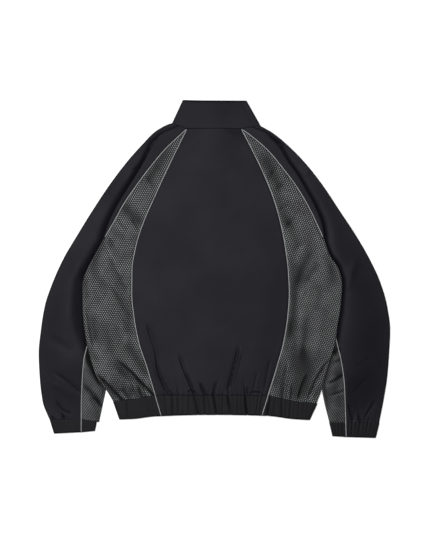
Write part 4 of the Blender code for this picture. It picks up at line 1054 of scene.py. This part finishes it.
sleeveSet = {"wall": 0.7, "look": "shell", "slot": "black_shell", "cut": (0.33, 0.72), "cutArea": 0.125,
             "held": "laid", "gathers": "outer", "insideColumns": 18, "outsideColumns": 56, "foldSteps": 12,
             "floorColumns": 16, "floorFolds": 1.0, "cuffDip": form["neckDip"]}


def sleeveStations(side, first):
    end = cuffOf(side)["seamY"][0] + form["seamGap"] / 2
    below = np.concatenate([armpitStations, np.arange(42, end + 46, -3.0)])
    close = np.linspace(below[-1] - 2.5, end + 8, 16)
    whole = np.concatenate([upperStations, below, close, end + np.array([6, 4, 2.4, 1.2, 0.0])])
    return whole[whole <= first]


def creaseColumns(seam, crease, turn, inside, outside):
    # columns from the seam to the crease and, closest beside it, from the crease to the fold
    way = 1.0 if turn > seam else -1.0
    crease = seam + way * np.clip(way * (crease - seam), 4.0, max(5.0, way * (turn - seam) - 8.0))
    first = seam + (crease - seam) * (0.5 - 0.5 * np.cos(np.linspace(0, math.pi, inside)))
    return np.concatenate([first[:-1], crease + (turn - crease) * np.linspace(0, 1, outside) ** 1.6])


def neckLine(side, x):
    # neck edge of a sleeve, standing off the collar more towards the fold
    low = readLine("raglan", side, form["neckY"])
    lean = form["leanGap"] * smooth((x - low) / (outline["collarCorners"][side][0] - low))
    return readLine("collarSeam", "back", signs[side] * x) - form["seamGap"] / 2 - lean


def sleeveRow(side, way, station, seam, edge, edgeY, lineY, piece):
    # a row of a sleeve's panel: over the top from its seam, round its edge (way 1 is outward), back beneath
    cuffY = cuffOf(side)["seamY"][0]
    top = float(sleeveTop(side, edge, edgeY))
    turn = edge - way * top / 2
    even = creaseColumns(seam, float(creaseLine(side, station)), turn, piece["insideColumns"],
                         piece["outsideColumns"])
    shares = gatherColumns(0.0, 1.0, cuffGathers[piece["gathers"]]["top"])
    nearCuff = float(smooth((cuffY + form["gatherSpan"] - station) / 24))
    x = blendColumns(even, seam + (turn - seam) * shares, nearCuff)
    y = lineY(x)
    z = mix(top, sleeveTop(side, x, y), smooth(way * (turn - x) / 6)) - seamDip(x - seam)
    z -= seamDip(neckLine(side, np.minimum(x, outline["collarCorners"][side][0])) - y) * form["neckDip"]
    z -= seamDip(y - cuffY) * piece["cuffDip"]
    foldX, foldZ = foldLine(way * edge, float(z[-1]), 0.0, piece["foldSteps"])
    backX = np.linspace(turn, seam, piece["floorColumns"])
    backY = lineY(backX)
    inside = smooth(way * (turn - backX) / 20) * smooth(way * (backX - seam) / 12)
    backZ = piece["floorFolds"] * floorLift(signs[side] * backX, backY, 41) * inside
    return folded(signs[side], (x, y, z), (way * foldX, np.full(foldX.shape, edgeY), foldZ),
                  (backX, backY, backZ))


def sleevePanel(side):
    cuff = cuffOf(side)
    corner = outline["collarCorners"][side][0]
    tilt = lineAt("collarSeam", "back", signs[side] * corner) - form["neckY"]
    rows = []
    for station in sleeveStations(side, form["neckY"]):
        seamName = "raglan" if station >= form["armpitY"] else "sleeveSeam"
        seam, seamY = seamPoint(seamName, side, station, form["seamGap"] / 2)
        outerY = station + tilt * float(ramp("neck", station))
        outerY += (cuff["outerY"][0] - cuff["seamY"][0]) * float(ramp("cuffTilt", station))
        nearCollar = float(ramp("nearCollar", station))
        if station == form["neckY"]:
            outerY, edge = float(neckLine(side, corner)), corner
        else:
            edge = mix(lineAt("sleeveOuter", side, outerY), corner, float(ramp("collarCorner", station)))

        def lineY(x):
            if station == form["neckY"]:
                return neckLine(side, x)
            straight = mix(seamY, outerY, (x - seam) / (edge - seam))
            follow = neckLine(side, np.minimum(x, corner)) - (form["neckY"] - station)
            return mix(straight, follow, nearCollar * smooth((edge - x) / 12) * smooth((x - seam) / 14))

        rows.append(sleeveRow(side, 1, station, seam, edge, outerY, lineY, sleeveSet))
    rows = tuckRows(rows[0], 1, 1.6)[::-1] + rows + tuckRows(rows[-1], -1, 1.2)
    return cloth("sleeve_cloth_" + side, "sleeve_" + side, rows, sleeveSet, signs[side] > 0)


underarmSet = {"wall": 0.8, "look": "net", "slot": "grey_net", "cut": (0.11, 0.40), "cutArea": 0.029,
               "held": "laid", "gathers": "inner", "insideColumns": 12, "outsideColumns": 22, "foldSteps": 10,
               "floorColumns": 8, "floorFolds": 0.0, "cuffDip": form["bandDip"], "topY": 40.0,
               "grainTurn": {"left": 0.08, "right": -0.08},
               "pulled": {"left": (1.026, 0.55), "right": (2.115, 0.55)}}


def underarmNet(side):
    cuff = cuffOf(side)
    rows = []
    for station in sleeveStations(side, underarmSet["topY"]):
        seam, seamY = seamPoint("sleeveSeam", side, station, -form["seamGap"] / 2)
        innerY = station + (cuff["innerY"][0] - cuff["seamY"][0]) * float(ramp("cuffTilt", station))
        edge = lineAt("sleeveInner", side, innerY)

        def lineY(x):
            return mix(seamY, innerY, (x - seam) / (edge - seam))

        rows.append(sleeveRow(side, -1, station, seam, edge, innerY, lineY, underarmSet))
    rows += tuckRows(rows[-1], -1, 1.2)
    return cloth("underarm_cloth_" + side, "underarm_net_" + side, rows, underarmSet, signs[side] < 0,
                 turn=underarmSet["grainTurn"][side], pulled=underarmSet["pulled"][side],
                 folds="sleeve" + side)


bandParts = np.array([
    0.0, 0.018, 0.04, 0.07, 0.12, 0.2, 0.3, 0.4, 0.5, 0.6, 0.7, 0.8, 0.88, 0.93, 0.965, 0.985, 1.0])


def bandColumns(start, end, rows, part):
    # columns that follow the gathers, and how far each one stands off the band's even height
    chance = np.random.default_rng(int(rows["top"][0] * 10) % 9973)
    count = len(rows["top"])
    sway, turns = chance.uniform(-0.9, 0.9, count), chance.uniform(0, 2 * math.pi, count)
    ways, widths = chance.choice([-1.0, 1.0], count), chance.uniform(1.0, 1.7, count)
    swell = 1 + chance.uniform(-0.5, 0.3, count) * np.cos(math.pi * part + turns)
    valleys = mix(rows["top"], rows["bottom"], part) + sway * np.sin(math.pi * part * 2 + turns)
    lines = np.concatenate([[start], valleys, [end]])
    x = np.append((lines[:-1, None] + gatherSteps * np.diff(lines)[:, None]).ravel(), end)
    lift = np.append(np.tile(0.15 * np.sin(math.pi * gatherSteps), count + 1), 0.0)
    for line, depth, way, width in zip(valleys, (rows["depth"] / 1.3) ** 2 * swell, ways, widths):
        lift -= 0.9 * depth * valley((x - line) * way, width)
    return x, lift


def hemPoint(x, part):
    corner = np.where(x < 0, readLine("hemCorners", "left", part), readLine("hemCorners", "right", part))
    lean = form["leanGap"] * smooth((np.abs(x) - corner) / 14 + 1)
    top = readLine("hemLine", "top", x) - form["seamGap"] / 2 - form["hemGap"] - lean
    return mix(top, readLine("hemLine", "bottom", x), part)


def bandProfile(part, length):
    # the band rolls into its seam above and over its edge below
    fromEdge = (1 - part) * length
    return -0.25 * np.exp(-(part * length / 1.2) ** 2) - 1.1 * np.exp(-(fromEdge / 1.3) ** 2)


def edgeCurl(part, length):
    # the layer beneath comes up to the fold along the free edge
    return form["edgeCurl"] * math.exp(-((1 - part) * length / 1.5) ** 2)


def edgeWave(lift, part, piece):
    return piece["edgeWave"] * np.maximum(0, -lift) * part ** 4


hemSet = {"wall": 1.5, "look": "band", "slot": "black_band", "held": "gathered", "height": 48.0,
          "edgeWave": 0.55, "backCut": (0.33, 0.05), "sideCut": (0.43, 0.05), "foldHeight": 0.9}


def hemBack():
    rows = []
    for part in bandParts:
        y = mix(form["hemY"], form["hemBottomY"], part)
        left = form["seamGap"] / 2 - lineAt("backSeam", "left", y)
        right = lineAt("backSeam", "right", y) - form["seamGap"] / 2
        x, lift = bandColumns(left, right, hemGathers["back"], part)
        strength = 0.85 + 0.25 * math.sin(math.pi * part)
        z = form["bandTop"] + lift * strength + bandProfile(part, hemSet["height"])
        z = z + wander(x, np.full(x.shape, y), 51, 60, 0.15)
        rows.append((x, hemPoint(x, part) + edgeWave(lift, part, hemSet), z))
    return cloth("hem_cloth_back", "hem_back", rows, hemSet, True)


def hemSide(side):
    sign = signs[side]
    front = lineAt("frontSeam", side, form["hemY"])
    rows = []
    for part in bandParts:
        y = mix(form["hemY"], form["hemBottomY"], part)
        seam = lineAt("backSeam", side, y) + form["seamGap"] / 2
        edge = lineAt("hemCorners", side, part)
        turn = edge - form["bandTop"] / 2
        x, lift = bandColumns(seam, turn, hemGathers[side], part)
        strength = 0.8 + 0.25 * math.sin(math.pi * part)
        z = form["bandTop"] + lift * strength + bandProfile(part, hemSet["height"])
        z = mix(z, z[-1], smooth((x - turn + 5) / 5))
        foldX, foldZ = foldLine(edge, float(z[-1]), 0.0)
        foldY = np.full(foldX.shape, float(hemPoint(np.array(sign * edge), part)))
        backX = np.concatenate([np.linspace(turn, front, 14),
                                np.linspace(front, form["zipSlotHalf"], 70)[1:]])
        folds = np.abs(np.sin(backX * 0.26 + np.sin(backX * 0.11) * 1.7)) ** 2 * smooth((turn - backX) / 12)
        backZ = hemSet["foldHeight"] * folds * smooth((backX - 8) / 10) + edgeCurl(part, hemSet["height"])
        y = hemPoint(sign * x, part) + edgeWave(lift, part, hemSet)
        backY = hemPoint(sign * backX, part)
        rows.append(folded(sign, (x, y, z), (foldX, foldY, foldZ), (backX, backY, backZ)))
    return cloth("hem_cloth_" + side, "hem_side_" + side, rows, hemSet, sign > 0)


cuffSet = {"wall": 1.5, "look": "band", "slot": "black_band", "held": "gathered", "height": 33.0,
           "edgeWave": 0.5, "outerCut": (0.18, 0.035), "innerCut": (0.09, 0.03), "foldHeight": 0.7}


def cuffBand(side, section):
    sign, cuff = signs[side], "cuff" + side.capitalize()
    way = 1.0 if section == "outer" else -1.0
    gathers = cuffGathers[section]
    half = form["seamGap"] / 2
    rows = []
    for part in bandParts:
        seam = lineAt(cuff, "seam", part) + way * half
        seamY = lineAt(cuff, "seamY", part) - (1 - part) * half
        edge = lineAt(cuff, section, part)
        edgeY = lineAt(cuff, section + "Y", part) - (1 - part) * (half + form["leanGap"] / 2)
        turn = edge - way * form["cuffTop"] / 2
        placed = {name: seam + gathers[name] * (turn - seam) for name in ("top", "bottom")}
        x, lift = bandColumns(seam, turn, dict(gathers, **placed), part)
        z = form["cuffTop"] + lift * cuffShare[side] + bandProfile(part, cuffSet["height"])
        z = mix(z, z[-1], smooth(1 - np.abs(x - turn) / 4))

        def lineY(at):
            return mix(seamY, edgeY, (at - seam) / (edge - seam))

        foldX, foldZ = foldLine(way * edge, float(z[-1]), 0.0)
        backX = np.linspace(turn, seam, 24)
        ends = smooth(np.abs(backX - turn) / 10) * smooth(np.abs(backX - seam) / 6)
        folds = np.sin(backX * 0.42) ** 2 * ends
        backZ = cuffSet["foldHeight"] * folds + edgeCurl(part, cuffSet["height"])
        rows.append(folded(sign, (x, lineY(x) + edgeWave(lift, part, cuffSet), z),
                           (way * foldX, np.full(foldX.shape, edgeY), foldZ), (backX, lineY(backX), backZ)))
    return cloth("cuff_cloth_" + section + "_" + side, "cuff_" + section + "_" + side, rows, cuffSet,
                 sign * way > 0)


collarSet = {"wall": 1.6, "look": "shell", "slot": "black_band", "cut": (0.47, 0.064), "held": "folded",
             "height": 63.0, "rows": 26, "crown": 0.9}


def collarHalf(side, part):
    sign = signs[side]
    baseEdge, topEdge = outline["collarCorners"][side]
    edge = mix(baseEdge, topEdge, part)
    turn = baseEdge * (1 - form["bandTop"] / 2 / edge)
    seam = lineAt("raglan", side, form["neckY"])
    slot = baseEdge * form["zipSlotHalf"] / edge

    def point(baseX, front):
        share = baseX / baseEdge
        baseY = readLine("collarSeam", "back", sign * baseX) + form["seamGap"] / 2
        topY = readLine("collarTop", "back", sign * share * topEdge)
        if front:
            baseY = baseY - neckDrop(side, baseX)
            topY = topY - neckDrop(side, share * seam)
        return mix(baseX, share * topEdge, part), mix(baseY, topY, part)

    fromSeam, fromTop = part * collarSet["height"], (1 - part) * collarSet["height"]
    roll = -0.1 * math.exp(-(fromSeam / 1.2) ** 2) - 1.3 * math.exp(-(fromTop / 1.6) ** 2)
    base = np.concatenate([np.linspace(0, seam, 26), np.linspace(seam, turn, 16)[1:]])
    x, y = point(base, False)
    crown = collarSet["crown"] * np.sin(math.pi * part) ** 0.7 * smooth((edge - x) / 26)
    z = form["bandTop"] + overPull(x, y) + roll
    z = z + (wander(sign * x, y, 61, 90, 0.3) + crown) * smooth((turn - base) / 10)
    foldX, foldZ = foldLine(edge, float(z[-1]), 0.0)
    foldY = np.full(foldX.shape, float(point(np.array([baseEdge]), False)[1][0]))
    backBase = np.concatenate([np.linspace(turn, seam, 10), np.linspace(seam, slot, 26)[1:]])
    backX, backY = point(backBase, True)
    backZ = zipLift(np.abs(backX), backY) + edgeCurl(part, collarSet["height"])
    return folded(sign, (x, y, z), (foldX, foldY, foldZ), (backX, backY, backZ))


def collarBand():
    rows = []
    parts = 0.5 - 0.5 * np.cos(np.linspace(0, math.pi, collarSet["rows"]))
    for part in parts[::-1]:
        left, right = collarHalf("left", float(part)), collarHalf("right", float(part))
        rows.append(tuple(np.concatenate([a[:0:-1], b]) for a, b in zip(left, right)))
    return cloth("collar_cloth", "collar", rows, collarSet, True)


for side in signs:
    frontPanel(side)
print("fronts made")
sleeves = [sleevePanel(side) for side in signs] + [underarmNet(side) for side in signs]
print("sleeves made")
body = [backPanel()] + [sideNet(side) for side in signs]
print("back and side panels made")
hemBack()
for side in signs:
    hemSide(side)
collarBand()
for side in signs:
    for section in ("outer", "inner"):
        cuffBand(side, section)
print("bands made")

pipingSet = {"radius": 0.72, "sides": 12, "step": 3.0, "lift": 0.1, "sink": 0.3}


def resample(points, step):
    points = np.asarray(points, float)
    run = np.concatenate([[0], np.cumsum(np.linalg.norm(np.diff(points, axis=0), axis=1))])
    at = np.linspace(0, run[-1], max(2, int(run[-1] / step) + 1))
    return np.stack([np.interp(at, run, points[:, axis]) for axis in range(3)], 1), at


def tube(name, points, radius, count, look):
    # a round cord with domed ends
    line, run = resample(points, pipingSet["step"])
    along = np.gradient(line, axis=0)
    along /= np.linalg.norm(along, axis=1)[:, None]
    across = np.stack([-along[:, 1], along[:, 0], np.zeros(len(line))], 1)
    across /= np.linalg.norm(across, axis=1)[:, None]
    up = np.cross(along, across)
    size = np.ones(len(line))
    size[[0, -1]], size[[1, -2]] = 0.35, 0.85
    angle = 2 * math.pi * np.arange(count) / count
    ring = np.cos(angle)[None, :, None] * across[:, None] + np.sin(angle)[None, :, None] * up[:, None]
    points = line[:, None] + ring * (radius * size)[:, None, None]
    uvs = np.stack(np.broadcast_arrays(run[:, None], (angle * radius)[None, :]), 2)
    number = np.arange(points.shape[0] * count).reshape(-1, count)
    turned = np.roll(number, -1, axis=1)
    faces = np.stack([number[:-1], turned[:-1], turned[1:], number[1:]], -1).reshape(-1, 4).tolist()
    faces += [list(range(count))[::-1], number[-1].tolist()]
    return meshObject(name, points.reshape(-1, 3), faces, uvs.reshape(-1, 2), look, sharp=False)


def pipings(side):
    sign, cuff = signs[side], "cuff" + side.capitalize()
    lift = pipingSet["lift"]
    lines = {"back": [], "raglan": [], "sleeve": []}
    for station in bodyStations[1:]:
        y = float(rowLine(station, sign * readLine("backSeam", side, station)))
        x = lineAt("backSeam", side, y)
        lines["back"].append((sign * x, y, float(bodyTop(side, x, y)) + lift))
    for part in np.linspace(0.1, 1, 10):
        x = sign * lineAt("backSeam", side, mix(form["hemY"], form["hemBottomY"], part))
        height = form["bandTop"] + lift - pipingSet["sink"]
        lines["back"].append((x, float(hemPoint(np.array(x), part)), height))
    for station in upperStations[(upperStations < 321.5) & (upperStations > 72)]:
        x = lineAt("raglan", side, station)
        lines["raglan"].append((sign * x, station, float(bodyTop(side, x, station)) + lift))
    for station in sleeveStations(side, underarmSet["topY"]):
        x = lineAt("sleeveSeam", side, station)
        lines["sleeve"].append((sign * x, station, float(sleeveTop(side, x, station)) + lift))
    for part in np.linspace(0.1, 1, 8):
        height = form["cuffTop"] + lift - pipingSet["sink"]
        lines["sleeve"].append((sign * lineAt(cuff, "seam", part), lineAt(cuff, "seamY", part), height))
    for name, points in lines.items():
        made = tube("piping_cord_" + name + "_" + side, points, pipingSet["radius"], pipingSet["sides"],
                    looks["piping"])
        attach(made, "jacket")
        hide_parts("piping_" + name + "_" + side)


for side in signs:
    pipings(side)
print("piping made")


stitchSet = {"pitch": 3.0, "share": 0.72, "radius": 0.26, "sunk": 0.16, "sides": 6,
             "rings": (0.0, 0.12, 0.5, 0.88, 1.0), "fromSeam": 3.0, "fromPiping": 2.4, "fromEnd": 6.0,
             "fromNeck": 12.0, "above": 40.0}


def stitches(name, under, x, y):
    # short thread bars along a line in plan, bedded in the cloth under them
    mesh = under.data
    tree = BVHTree.FromPolygons([vertex.co / mm for vertex in mesh.vertices],
                                [tuple(face.vertices) for face in mesh.polygons])
    line = resample(np.column_stack([x, y, np.zeros(len(x))]), stitchSet["pitch"])[0]
    rings, count = np.array(stitchSet["rings"]), stitchSet["sides"]
    angle = 2 * math.pi * np.arange(count) / count
    upward = np.array([0, 0, 1.0])
    points, faces, uvs = [], [], []
    for start, end in zip(line[:-1], line[1:]):
        along = (end - start) / np.linalg.norm(end - start)
        across = np.array([-along[1], along[0], 0.0])
        for index, part in enumerate(rings):
            middle = start + (end - start) * stitchSet["share"] * part
            hit = tree.ray_cast(Vector((middle[0], middle[1], stitchSet["above"])), Vector((0, 0, -1)))[0]
            if hit is None:
                break
            arch = math.sin(math.pi * part)
            middle[2] = hit.z - stitchSet["sunk"] * (1.6 - 1.3 * arch)
            radius = stitchSet["radius"] * (0.45 + 0.55 * arch ** 0.5)
            first = len(points)
            points += [middle + radius * (math.cos(a) * across + math.sin(a) * upward) for a in angle]
            uvs += [(part * stitchSet["pitch"], a * radius) for a in angle]
            if index:
                for k in range(count):
                    after = (k + 1) % count
                    faces.append((first - count + k, first - count + after, first + after, first + k))
    made = meshObject(name, points, faces, uvs, looks["stitch"])
    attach(made, "jacket")


def seamRuns():
    # lines of stitching in plan, with the cloth they lie on
    off, beside = stitchSet["fromSeam"], stitchSet["fromPiping"]
    inset, belowNeck = stitchSet["fromEnd"], form["neckY"] - stitchSet["fromNeck"]
    runs = []
    for name, y, line, column, away, count in (("hem_back", form["hemY"], "hemLine", "top", off, 90),
                                               ("neck", form["neckY"], "collarSeam", "back", -off, 40)):
        left, right = (sign * lineAt("backSeam", side, y) for side, sign in signs.items())
        x = np.linspace(left + beside, right - beside, count)
        runs.append((name, "back_cloth", x, readLine(line, column, x) + away))
    for side, sign in signs.items():
        cuff, sleeve = cuffOf(side), "sleeve_cloth_" + side
        for name, under, line, way, top, bottom in (
                ("back_", "back_cloth", "backSeam", -1, belowNeck, form["hemY"]),
                ("raglan_", sleeve, "raglan", 1, belowNeck, form["armpitY"]),
                ("sleeve_", sleeve, "sleeveSeam", 1, form["underarmTop"], cuff["seamY"][0])):
            y = np.arange(top, bottom + inset, -3.0)
            runs.append((name + side, under, sign * (readLine(line, side, y) + way * beside), y))
        start, end = lineAt("backSeam", side, form["hemY"]), outline["hemCorners"][side][0]
        x = np.linspace(start + beside, end - inset, 40)
        y = readLine("hemLine", "top", sign * x) + off
        runs.append(("hem_" + side, "net_cloth_" + side, sign * x, y))
        seam, outer = cuff["seam"][0], cuff["outer"][0]
        x = np.linspace(seam + beside, outer - inset, 30)
        y = mix(cuff["seamY"][0], cuff["outerY"][0], (x - seam) / (outer - seam)) + off
        runs.append(("cuff_" + side, sleeve, sign * x, y))
    return runs


clothOf = {made.name: made for made in body + sleeves}
for name, under, x, y in seamRuns():
    stitches("stitches_" + name, clothOf[under], x, y)
print("stitches made")


def zipMiddle(y):
    lowCollar = lineAt("collarSeam", "back", 0.0) - form["frontNeckDrop"]
    overCollar = smooth((y - lowCollar + 24) / 16)
    overHem = smooth((form["hemY"] + 22 - y) / 16)
    flat = zipSet["frontWall"] + form["layGap"] + zipSet["tapeThick"] / 2
    return flat + np.maximum(overCollar, overHem) + zipLift(0.0, y)


hemEnd = lineAt("hemLine", "bottom", 0.0) + 1
collarEnd = lineAt("collarTop", "back", 0.0) - form["frontNeckDrop"] - 2


def zipTape(side):
    x = signs[side] * (zipSet["tapeEdge"] + zipSet["tapeWidth"] * np.array(zipSet["tapeShares"]))
    ribs = zipSet["tapeThick"] * 0.35 + zipSet["ribHeight"] * np.array(zipSet["ribs"])
    rows = [(x, y, zipMiddle(y) + ribs) for y in np.linspace(hemEnd, collarEnd, 150)[::-1]]
    cloth("zip_tape_cloth_" + side, "zip_tape_" + side, rows, zipSet, side == "right")


# half of a tooth in plan, from its foot to its head: along the tooth and half its width
toothOutline = ((-2.8, 0.55), (-1.4, 0.62), (-0.6, 0.42), (0.25, 0.42), (0.9, 0.6), (1.35, 0.3))


def zipTeeth():
    # moulded teeth from both tapes, locked in turn; each has a foot, a waist and a head
    chainEnd = zipSet["sliderY"] + zipSet["sliderLength"] / 2 - zipSet["bridge"] - 2 * form["layGap"]
    half, count = zipSet["chainThick"] / 2, 2 * len(toothOutline)
    points, faces = [], []
    for index, y in enumerate(np.arange(hemEnd, chainEnd, zipSet["toothPitch"] / 2)):
        sign = 1.0 if index % 2 else -1.0
        z = float(zipMiddle(y))
        start = len(points)
        for level, inset in ((-half, 0.8), (-half + 0.3, 1.0), (half - 0.3, 1.0), (half, 0.8)):
            ring = [(a, w * inset) for a, w in toothOutline]
            ring += [(a, -w) for a, w in ring[::-1]]
            points += [(-sign * a, y + w, z + level) for a, w in ring]
        quads = []
        for ring in range(3):
            for k in range(count):
                a, b = start + ring * count + k, start + ring * count + (k + 1) % count
                quads.append(([a, b, b + count, a + count], sign))
        for ring, way in ((0, 1), (3, -1)):
            for k in range(len(toothOutline) - 1):
                a, b = start + ring * count + k, start + ring * count + count - 1 - k
                quads.append(([a, b, b - 1, a + 1], way * sign))
        faces += [quad if way > 0 else quad[::-1] for quad, way in quads]
    points = np.array(points)
    made = meshObject("zip_teeth", points, faces, points[:, :2], looks["moulded"])
    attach(made, "jacket")
    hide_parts("zip_chain")


for side in signs:
    zipTape(side)
zipTeeth()
for node in ("zip_slider", "zip_pull"):
    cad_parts[node].data.materials.clear()
    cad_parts[node].data.materials.append(looks["moulded"])
print("zip made")
